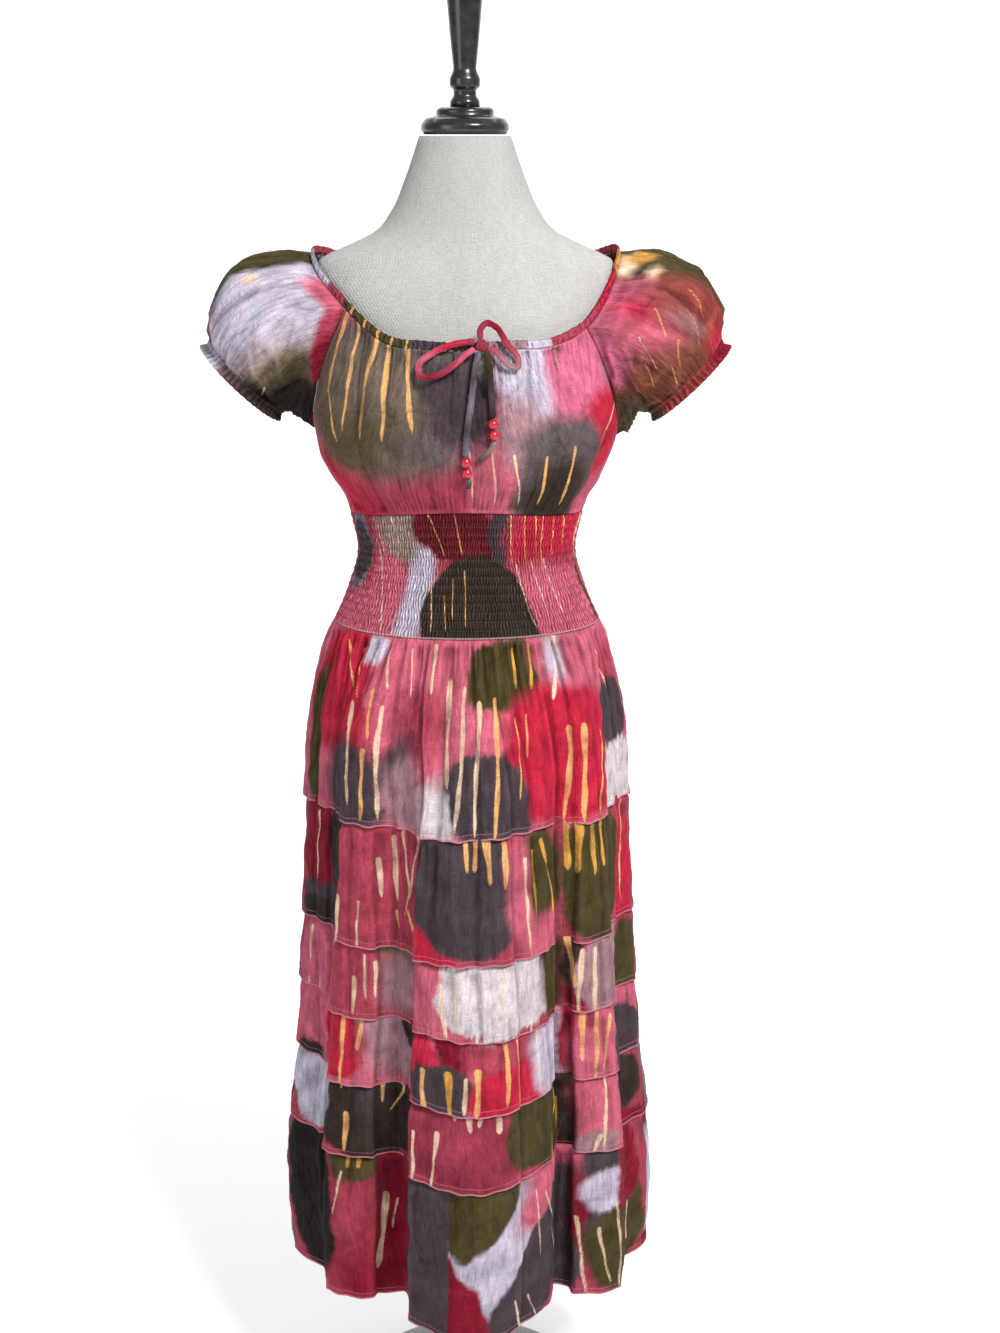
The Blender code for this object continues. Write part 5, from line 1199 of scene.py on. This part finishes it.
SLEEVE_CREASES = {
    "left": [(-20, 0.10, 0.75, 5.0, 40, -0.0050), (18, 0.20, 0.80, 5.0, -50, 0.0040), (48, 0.15, 0.85, 4.5, 30, -0.0046),
             (80, 0.30, 0.95, 5.0, 0, -0.0040), (112, 0.05, 0.70, 5.5, -30, 0.0036), (140, 0.10, 0.90, 5.0, 20, -0.0050),
             (-60, 0.10, 0.80, 5.0, 30, -0.0040), (-100, 0.20, 0.90, 5.5, -20, 0.0036), (-135, 0.15, 0.8, 5.0, 20, -0.0044)],
    "right": [(-25, 0.12, 0.80, 5.0, 30, -0.0048), (12, 0.15, 0.70, 5.5, 50, 0.0040), (42, 0.20, 0.95, 4.5, -40, -0.0050),
              (74, 0.10, 0.80, 5.0, 10, -0.0044), (104, 0.25, 0.90, 5.0, 30, 0.0040), (138, 0.10, 0.75, 5.0, -20, -0.0046),
              (-58, 0.20, 0.85, 5.5, -30, -0.0040), (-98, 0.10, 0.80, 5.0, 20, 0.0036), (-140, 0.2, 0.9, 5.0, -20, -0.0044)],
}


def arm_cloth(name, side, points, square, out, colour, wall=CLOTH):
    """A ring of cloth round an arm, from the grid of the right arm, which is mirrored for the left one."""
    flip = np.array([float(side), 1.0, 1.0])
    order = (slice(None, None, -1), slice(None, None, side))
    return cloth(name, (points * flip)[order], (square * flip)[order], out[order], COTTON,
                 [layer[order] for layer in colour], wall, ring=True)


def sleeve(side_name, side, ground, cuff_ground, seed):
    """A puffed sleeve: creases laid round it, fine gathers from the neck band and into the cuff.

    Round the sleeve, 0 degrees is underneath, 90 in front and 180 on top."""
    around, count = 320, 61
    levels = np.linspace(0, 1, count)
    points, radial, away = sleeve_grid(side, around, levels)
    square = grid_normals(points)
    if np.sum(square[count // 2] * radial) < 0:
        square = -square
    t = levels[:, None]
    turn = away[None, :] + 0 * t
    out = (0.0014 * ripples(turn * 0.0012, t * 0.12, 0.05, seed)
           + 0.0030 * crumpled(turn * 0.0012, t * 0.12, 0.060, seed + 8))
    out = out + pressed_creases(turn * 0.0016, t * 0.13, 0.017, 0.0012, seed + 9)
    for at, first, last, width, lean, depth in SLEEVE_CREASES[side_name]:
        along = np.sin(np.pi * np.clip((t - first) / (last - first), 0, 1)) ** 1.2
        out = out + depth * along * np.exp(-((wrapped(turn - at - lean * (t - 0.5)) / width) ** 2))
    cuff_pull = pinches(turn, (1 - t) * 0.13, gather_rows(seed + 4, -180, 180, 5.2, 0.0022, 0.026))
    neck_pull = pinches(turn, t * 0.13, gather_rows(seed + 5, 100, 260, 4.6, 0.0018, 0.030))
    out = (out + cuff_pull + neck_pull) * eased(t * 16) * eased((1 - t) * 22 + 0.2)
    colour = dyed("sleeve_" + side_name, turn, t * 0.12, ground, seed, 0.0012)
    piece = arm_cloth(f"sleeve_{side_name}_cotton", side, points, square, out, colour)
    ride(piece, replaced=f"sleeve_{side_name}")
    cut_sheet(piece)
    cuff(side_name, side, points[-1], radial, away, cuff_ground, seed)


def cuff(side_name, side, ring_points, radial, away, ground, seed):
    """An elastic channel, ruched tight, that flares into a small ruffle at its free edge."""
    share = np.linspace(0, 1, 17)[:, None]
    out = np.interp(share, [0.0, 0.12, 0.45, 1.0], [0.0012, 0.0010, -0.0008, 0.0035])
    turn = away[None, :] + 0 * share
    pleat = np.sin(np.radians(turn) * 46 + 1.4 * ripples(turn * 0.001, share * 0.012, 0.02, seed))
    out = out + pleat * (0.0007 + 0.0011 * share**2)
    base = ring_points[None] + CUFF_OUT * (share * (CUFF_LENGTH + SEAM_GAP) - 0.0010 * (1 - share))[..., None]
    square = radial[None] + 0 * base
    colour = dyed("cuff_" + side_name, turn, 0.12 + share * 0.012, ground, seed, 0.0012)
    piece = arm_cloth(f"cuff_{side_name}_cotton", side, base, square, out, colour, CUFF_WALL)
    cut_sheet(ride(piece, replaced=f"cuff_{side_name}"))


# Sharp edges of the skirt's flutes: the edge's heights and angles from top to bottom, the drop at its
# top and bottom, how many degrees the drop fades over, and the side that stands proud
FLUTE_EDGES = [
    ([(1.02, -19), (0.88, -15.5), (0.765, -18), (0.645, -19.5), (0.20, -20.5)], 0.007, 0.020, 9, 1),
    ([(0.86, -38), (0.645, -39), (0.40, -41), (0.20, -43)], 0.004, 0.012, 7, -1),
    ([(1.02, -60), (0.88, -51), (0.765, -52), (0.645, -57), (0.40, -59), (0.20, -60)], 0.006, 0.018, 8, 1),
    ([(0.90, -68), (0.645, -70), (0.20, -71)], 0.003, 0.010, 7, -1),
    ([(1.02, 37), (0.88, 39.5), (0.645, 41.5), (0.40, 43), (0.20, 44)], 0.005, 0.020, 8, -1),
    ([(0.90, 47), (0.645, 47.5), (0.524, 47.5), (0.20, 50)], 0.004, 0.018, 7, 1),
    ([(0.95, 77), (0.645, 76), (0.524, 66), (0.40, 63), (0.20, 64)], 0.004, 0.014, 8, -1),
    ([(1.02, 13), (0.88, 15.5), (0.765, 16), (0.645, 17), (0.50, 18)], 0.005, 0.004, 6, -1),
    ([(1.00, 101), (0.60, 103), (0.20, 104)], 0.004, 0.014, 8, -1),
    ([(0.98, 119), (0.60, 117), (0.20, 118)], 0.004, 0.012, 8, 1),
    ([(1.02, 141), (0.70, 143), (0.20, 142)], 0.006, 0.016, 9, -1),
    ([(0.95, 158), (0.60, 159), (0.20, 160)], 0.004, 0.014, 7, 1),
    ([(1.00, -163), (0.65, -161), (0.20, -162)], 0.005, 0.016, 8, -1),
    ([(0.92, -143), (0.60, -144), (0.20, -142)], 0.004, 0.014, 8, 1),
    ([(1.02, -119), (0.65, -118), (0.20, -120)], 0.005, 0.014, 9, -1),
    ([(0.96, -101), (0.60, -100), (0.20, -99)], 0.004, 0.012, 7, 1),
]
# Softer creases between them: angle, drift by the hem, spread, depth, and the heights of its two ends
CREASES = [
    (-33, 1, 1.6, -0.0030, 0.97, 0.62), (-29, -1, 2.0, 0.0022, 0.92, 0.45), (-46, -2, 1.8, -0.0030, 0.90, 0.30),
    (-9, -2, 1.6, -0.0034, 1.02, 0.70), (-4, 3, 2.2, 0.0026, 1.00, 0.50), (4, 1, 1.5, -0.0032, 0.98, 0.42),
    (9, 3, 2.0, 0.0024, 1.02, 0.60), (24, 4, 1.8, -0.0036, 1.02, 0.68), (31, 2, 2.0, 0.0024, 0.95, 0.40),
    (56, 2, 1.7, -0.0034, 1.00, 0.36), (62, -3, 2.2, 0.0026, 0.94, 0.30), (70, -4, 1.7, -0.0030, 0.99, 0.55),
    (-78, 2, 2.0, -0.0034, 1.00, 0.36), (86, 0, 2.2, 0.0028, 1.00, 0.30), (-88, 0, 2.2, 0.0028, 1.00, 0.30),
    (110, 2, 2.0, -0.0034, 1.00, 0.45), (129, 1, 1.8, -0.0034, 1.01, 0.60), (135, 2, 2.2, 0.0026, 0.97, 0.34),
    (151, -1, 1.8, -0.0032, 0.99, 0.40), (171, 2, 1.7, -0.0036, 1.02, 0.42), (177, 1, 2.2, 0.0026, 1.00, 0.30),
    (-174, -2, 1.8, -0.0034, 0.99, 0.50), (-152, 1, 1.8, -0.0030, 1.00, 0.44), (-131, 2, 1.8, -0.0036, 1.02, 0.36),
    (-126, -1, 2.2, 0.0024, 0.96, 0.30), (-110, 1, 1.8, -0.0034, 1.00, 0.40),
]


def flutes(angle, height):
    """The sharp edges and the softer creases at each point of the skirt.

    An edge is half its drop times tanh of the way across, which dies away on both sides."""
    total = 0 * (angle + height)
    for path, top_drop, low_drop, fade, side in FLUTE_EDGES:
        heights, places = np.array(path).T
        at = np.interp(height, heights[::-1], places[::-1]) + 0.5 * np.sin(height * 23 + places[0])
        share = np.clip((heights[0] - height) / (heights[0] - heights[-1]), 0, 1)
        drop = (top_drop + (low_drop - top_drop) * share) * eased((heights[0] - height) / 0.07)
        off = wrapped(angle - at) * side
        total = total + 0.5 * drop * np.tanh(off / 0.45) * np.exp(-np.abs(off) / fade)
    for at, drift, spread, depth, begin, end in CREASES:
        fall = (begin - height) / (begin - end)
        strength = depth * eased(fall * 5) * eased((1 - fall) * 4)
        wander = 0.7 * np.sin(height * 19 + at)
        total = total + strength * np.exp(-np.abs(wrapped(angle - at - drift * fall - wander) / spread) ** 1.5)
    return total


# Fine gathers under each seam: depth and length
FINE_GATHERS = [(0.0040, 0.055), (0.0020, 0.028), (0.0014, 0.020), (0.0014, 0.020), (0.0015, 0.020), (0.0018, 0.026)]
PLACKET_LAP = 0.0012


def tier_rows(hem, top):
    """Heights of a tier's rows: close together at the rolled hem and under the seam, wider between."""
    low = hem + np.array([0, 0.0008, 0.0016, 0.0026, 0.0040, 0.0058, 0.0080, 0.0105])
    high = top - np.array([0, 0.0020, 0.0040, 0.0060, 0.0080, 0.0105, 0.0130, 0.0160])[::-1]
    between = high[0] - low[-1]
    count = int(round(between / 0.0036 / 4)) * 4 + 1
    return np.concatenate([low, np.linspace(low[-1], high[0], count + 2)[1:-1], high])


def tier_out(index, angle, height, drop):
    """How far a tier stands off the skirt's oval: tucked under the seam above, puffed and gathered below it."""
    hem, count, wave, puff = TIERS[index]
    top = SMOCK_BOTTOM - SEAM_GAP if index == 0 else TIERS[index - 1][0] + TIER_LAP
    fall = np.clip((top - height) / (top - hem), 0, 1)
    rise = eased((drop + TIER_LAP) / (TIER_LAP + GATHER_DROP * 0.75))
    phase = 1.2 * np.sin(np.radians(3 * angle + 50 * index)) + index
    gathers = wave * np.cos(np.radians(count * angle) + phase) * (1 - fall) ** 1.5
    pull, reach = FINE_GATHERS[index]
    fine = pinches(angle, drop, gather_rows(30 + index, -180, 180, 2.3, pull, reach))
    fine += pinches(angle, drop, gather_rows(60 + index, -180, 180, 5.2, 1.5 * pull, 2.2 * reach))
    wrinkle = 0.0008 * ripples(angle * 0.0033, height * 0.6, 0.030, 90 + index)
    wrinkle = wrinkle + 0.0008 * crumpled(angle * 0.0033, height * 0.5, 0.060, 110 + index)
    wrinkle = wrinkle + pressed_creases(angle * 0.0033, height, 0.020, 0.0010, 130 + index)
    stand = puff * (1 - fall) + HEM_STAND * fall + (gathers + fine) * rise
    out = -TIER_TUCK * (1 - rise) + stand * rise + (wrinkle + flutes(angle, height)) * rise
    if index == 5:
        out = out + PLACKET_LAP * eased((height - hem) / 0.02) * eased((angle + 20) / 0.6) * eased((-5 - angle) / 0.3)
    return out


def tier(index, word, middle, ground):
    """One strip of the skirt: a grid from its hem up to the seam that it hangs from, with a rolled hem."""
    hem = TIERS[index][0]
    seam = SMOCK_BOTTOM - SEAM_GAP if index == 0 else TIERS[index - 1][0]
    top = seam if index == 0 else seam + TIER_LAP
    half = 90 - math.degrees(0.5 * SEAM_GAP / 0.160)
    angles = middle + np.linspace(-half, half, 381 if middle == 0 else 281)
    share = ((tier_rows(hem, top) - hem) / (top - hem))[:, None]
    swing = HEM_SWING * np.sin(np.radians(5 * angles + 70 * index)) * (1 - share) ** 4
    wave = 0.0009 * np.sin(np.radians(41 * angles) + 2 * np.sin(np.radians(7 * angles))) * (1 - share) ** 8
    height = hem + share * (top - hem) + swing + wave
    angle = angles + 0 * height
    base, square = upright(skirt_reach, angle, height)
    out = tier_out(index, angle, height, seam - height)
    rolled = 0.0005 * eased((0.009 - (height - hem - swing - wave)) / 0.0015)
    colour = dyed(f"tier_{index + 1}_{word}", angle, height, ground, 7 * index + (0 if word == "front" else 50))
    piece = cloth(f"tier_{index + 1}_{word}_cotton", base, square, out + rolled, TIERED, colour,
                  painted_relief_light=(4, 0.0013, 0.45, 0.06))
    return cut_sheet(ride(piece, replaced=f"skirt_tier_{index + 1}_{word}"))


def on_bodice(x, height, off):
    """A point in front of the bodice, at its own distance off it."""
    reach = smooth(height, BODY[:, 0], BODY[:, 2])
    wide = smooth(height, BODY[:, 0], BODY[:, 1])
    return np.stack([x, -reach * np.sqrt(1 - (x / wide) ** 2) - off, height], -1)


def route(rows, spacing=CORD_STEP):
    """Even points on the smooth curve through a cord's own points."""
    knots = on_bodice(*np.array(rows).T)
    at = np.concatenate([[0], np.cumsum(np.linalg.norm(np.diff(knots, axis=0), axis=1))])
    steps = int(round(at[-1] / spacing)) + 1
    return np.stack([smooth(np.linspace(0, at[-1], steps), at, knots[:, k]) for k in range(3)], axis=1)


def rolled_cord(name, rows, colour_words, seed, width=CORD, thick=CORD_THICK):
    """A narrow tube of folded cotton along a path: a flattened ellipse that turns and dents a little.

    Its flat side faces the bodice. The sides of the ellipse come from the path's direction and the
    way out of the bodice."""
    path = route(rows)
    ahead = np.gradient(path, axis=0)
    ahead /= np.linalg.norm(ahead, axis=1, keepdims=True)
    outward = np.array([0.0, -1.0, 0.0]) - ahead * -ahead[:, 1:2]
    outward /= np.linalg.norm(outward, axis=1, keepdims=True)
    aside = np.cross(ahead, outward)
    count = 24
    turn = np.linspace(0, 2 * np.pi, count, endpoint=False)
    along = np.arange(len(path))[:, None] * CORD_STEP
    dents = 1 + 0.07 * ripples(along, turn * 0.004, 0.010, seed) + 0.04 * ripples(along, turn * 0.004, 0.003, seed + 1)
    close = np.ones(len(path))
    close[0] = close[-1] = 0.55
    close[1] = close[-2] = 0.9
    crease = 1 - 0.45 * np.exp(-(((np.abs(np.cos(turn)) - 0.62) / 0.14) ** 2))
    ring = (0.5 * width * np.cos(turn) * dents * close[:, None])[..., None] * aside[:, None]
    ring = ring + (0.5 * thick * np.sin(turn) * dents * crease * close[:, None])[..., None] * outward[:, None]
    points = (path[:, None] + ring).reshape(-1, 3)
    o = np.arange(len(points)).reshape(len(path), count)
    o = joined_round(o)
    faces = quads(o)
    faces += [o[0, :-1][::-1].tolist(), o[-1, :-1].tolist()]
    made = finish_mesh(name, points, faces, TIE_COTTON, len(faces) - 2)
    flat = np.stack([turn * 0.0030 + 0 * along, along + 0 * turn], -1)
    t = (along / along[-1] + 0.03 * ripples(along, turn * 0.01, 0.02, seed))
    stops = np.linspace(0, 1, len(colour_words))
    shades = np.array([DYES[w] for w in colour_words])
    dye = np.ones((len(path), count, 4))
    # Painted shade: the dye is darker along the two creases near the folded edges, and 15 % lighter on the folded edges
    # themselves.
    edge = 1 - 0.45 * np.exp(-(((np.abs(np.cos(turn)) - 0.66) / 0.10) ** 2)) + 0.15 * (np.abs(np.cos(turn)) > 0.8)
    for k in range(3):
        dye[..., k] = np.interp(t, stops, shades[:, k]) * edge
    lay_measure(made.data, flat, [("dye", dye), ("streak", np.zeros(dye.shape))])
    return made, path


def ball(name, where, half, material, squash_seed=None, hole=None):
    """A bead or a knot on a grid of a sphere, with soft dents for cloth or a drilled dimple for wood."""
    rows, columns = 22, 32
    down = np.linspace(0, np.pi, rows)[1:-1, None]
    turn = np.linspace(0, 2 * np.pi, columns, endpoint=False)[None]
    size = 1 + 0 * (down + turn)
    if squash_seed is not None:
        size = size + 0.10 * ripples(turn, down, 0.9, squash_seed) + 0.05 * np.sin(5 * turn + 4 * down)
    if hole:
        size = size - 0.10 * (np.exp(-((down / 0.30) ** 2)) + np.exp(-(((np.pi - down) / 0.30) ** 2)))
    points = np.stack([np.sin(down) * np.sin(turn), -np.sin(down) * np.cos(turn), np.cos(down) + 0 * turn], -1)
    points = points * size[..., None]
    tip = 0.90 if hole else 1.0
    points = np.concatenate([points.reshape(-1, 3), [(0, 0, tip), (0, 0, -tip)]]) * np.array(half)
    points = points + where
    o = np.arange((rows - 2) * columns).reshape(rows - 2, columns)
    o = joined_round(o)
    faces = np.stack([o[1:, :-1], o[1:, 1:], o[:-1, 1:], o[:-1, :-1]], -1).reshape(-1, 4).tolist()
    top, bottom = len(points) - 2, len(points) - 1
    faces += [[top, int(a), int(b)] for a, b in zip(o[0, :-1], o[0, 1:])]
    faces += [[bottom, int(b), int(a)] for a, b in zip(o[-1, :-1], o[-1, 1:])]
    return finish_mesh(name, points, faces, material)


def drawstring():
    """The bow: a knot, two loops, and two free ends with two beads each and a frayed tip."""
    where = on_bodice(*[np.array(v) for v in KNOT])
    knot = ball("bow_knot", where, KNOT_HALF, TIE_COTTON, squash_seed=3)
    corners = len(knot.data.vertices)
    for word, colour in (("dye", DYES["rose"]), ("streak", (0, 0, 0))):
        attribute = knot.data.attributes.new(word, "FLOAT_COLOR", "POINT")
        attribute.data.foreach_set("color", np.tile([*colour, 1.0 if word == "dye" else 0.0], corners).astype(np.float32))
    knot.data.uv_layers.new(name="cloth")
    ride(knot, replaced="tie_knot")
    sides = {
        "left": (LOOP_LEFT, TAIL_LEFT, TIP_LEFT, ("rose", "red", "pink", "crimson", "rose", "pink"),
                 ("grey", "slate", "grey", "slate", "grey"), ("grey", "slate")),
        "right": (LOOP_RIGHT, TAIL_RIGHT, TIP_RIGHT, ("rose", "crimson", "rose", "mauve", "rose"),
                  ("olive", "charcoal", "slate", "charcoal"), ("beige", "olive")),
    }
    for side, (loop, tail, tip, loop_dye, tail_dye, tip_dye) in sides.items():
        seed = 5 if side == "left" else 9
        piece, path = rolled_cord(f"bow_loop_{side}", loop, loop_dye, seed)
        ride(piece, replaced=f"tie_loop_{side}")
        for count, lay in enumerate(BEADS[side], 1):
            spot = on_bodice(*[np.array(v) for v in lay])
            bead = ball(f"wood_bead_{side}_{count}", spot, (BEAD / 2,) * 3, BEAD_RED, hole=True)
            ride(bead, replaced=f"tie_bead_{side}_{count}")
        end, _ = rolled_cord(f"frayed_end_{side}", tip, tip_dye, seed + 2, FRAY_WIDTH)
        ride(end, replaced=f"tie_tip_{side}")
        piece, path = rolled_cord(f"bow_tail_{side}", tail, tail_dye, seed + 1)
        ride(piece, replaced=f"tie_tail_{side}")


hidden_side()
set_camera()
drawstring()
dress_form()
smocked_waist("smock_front", 0, "smocked_waist_front", "rose", 11)
smocked_waist("smock_back", 180, "smocked_waist_back", "rose", 12)
bodice("bodice_front_cotton", 0, "bodice_front", "pink", 21)
bodice("bodice_back_cotton", 180, "bodice_back", "pink", 22)
sleeve("left", -1, "lavender", "mauve", 31)
sleeve("right", 1, "tawny", "crimson", 32)
SIDE = 90 - SEAM_MARGIN
neck_band("band_front_right", SLIT_ANGLE + BAND_PART, SIDE, "neck_casing_front_right", "rose", 41)
neck_band("band_front_left", -SIDE, SLIT_ANGLE - BAND_PART, "neck_casing_front_left", "slate", 42)
neck_band("band_back", 180 - SIDE, 180 + SIDE, "neck_casing_back", "rose", 43)
for index in range(len(TIERS)):
    tier(index, "front", 0, ("pink", "rose", "rose", "pink", "rose", "rose")[index])
    tier(index, "back", 180, ("rose", "slate", "pink", "rose", "olive", "crimson")[index])
set_room()
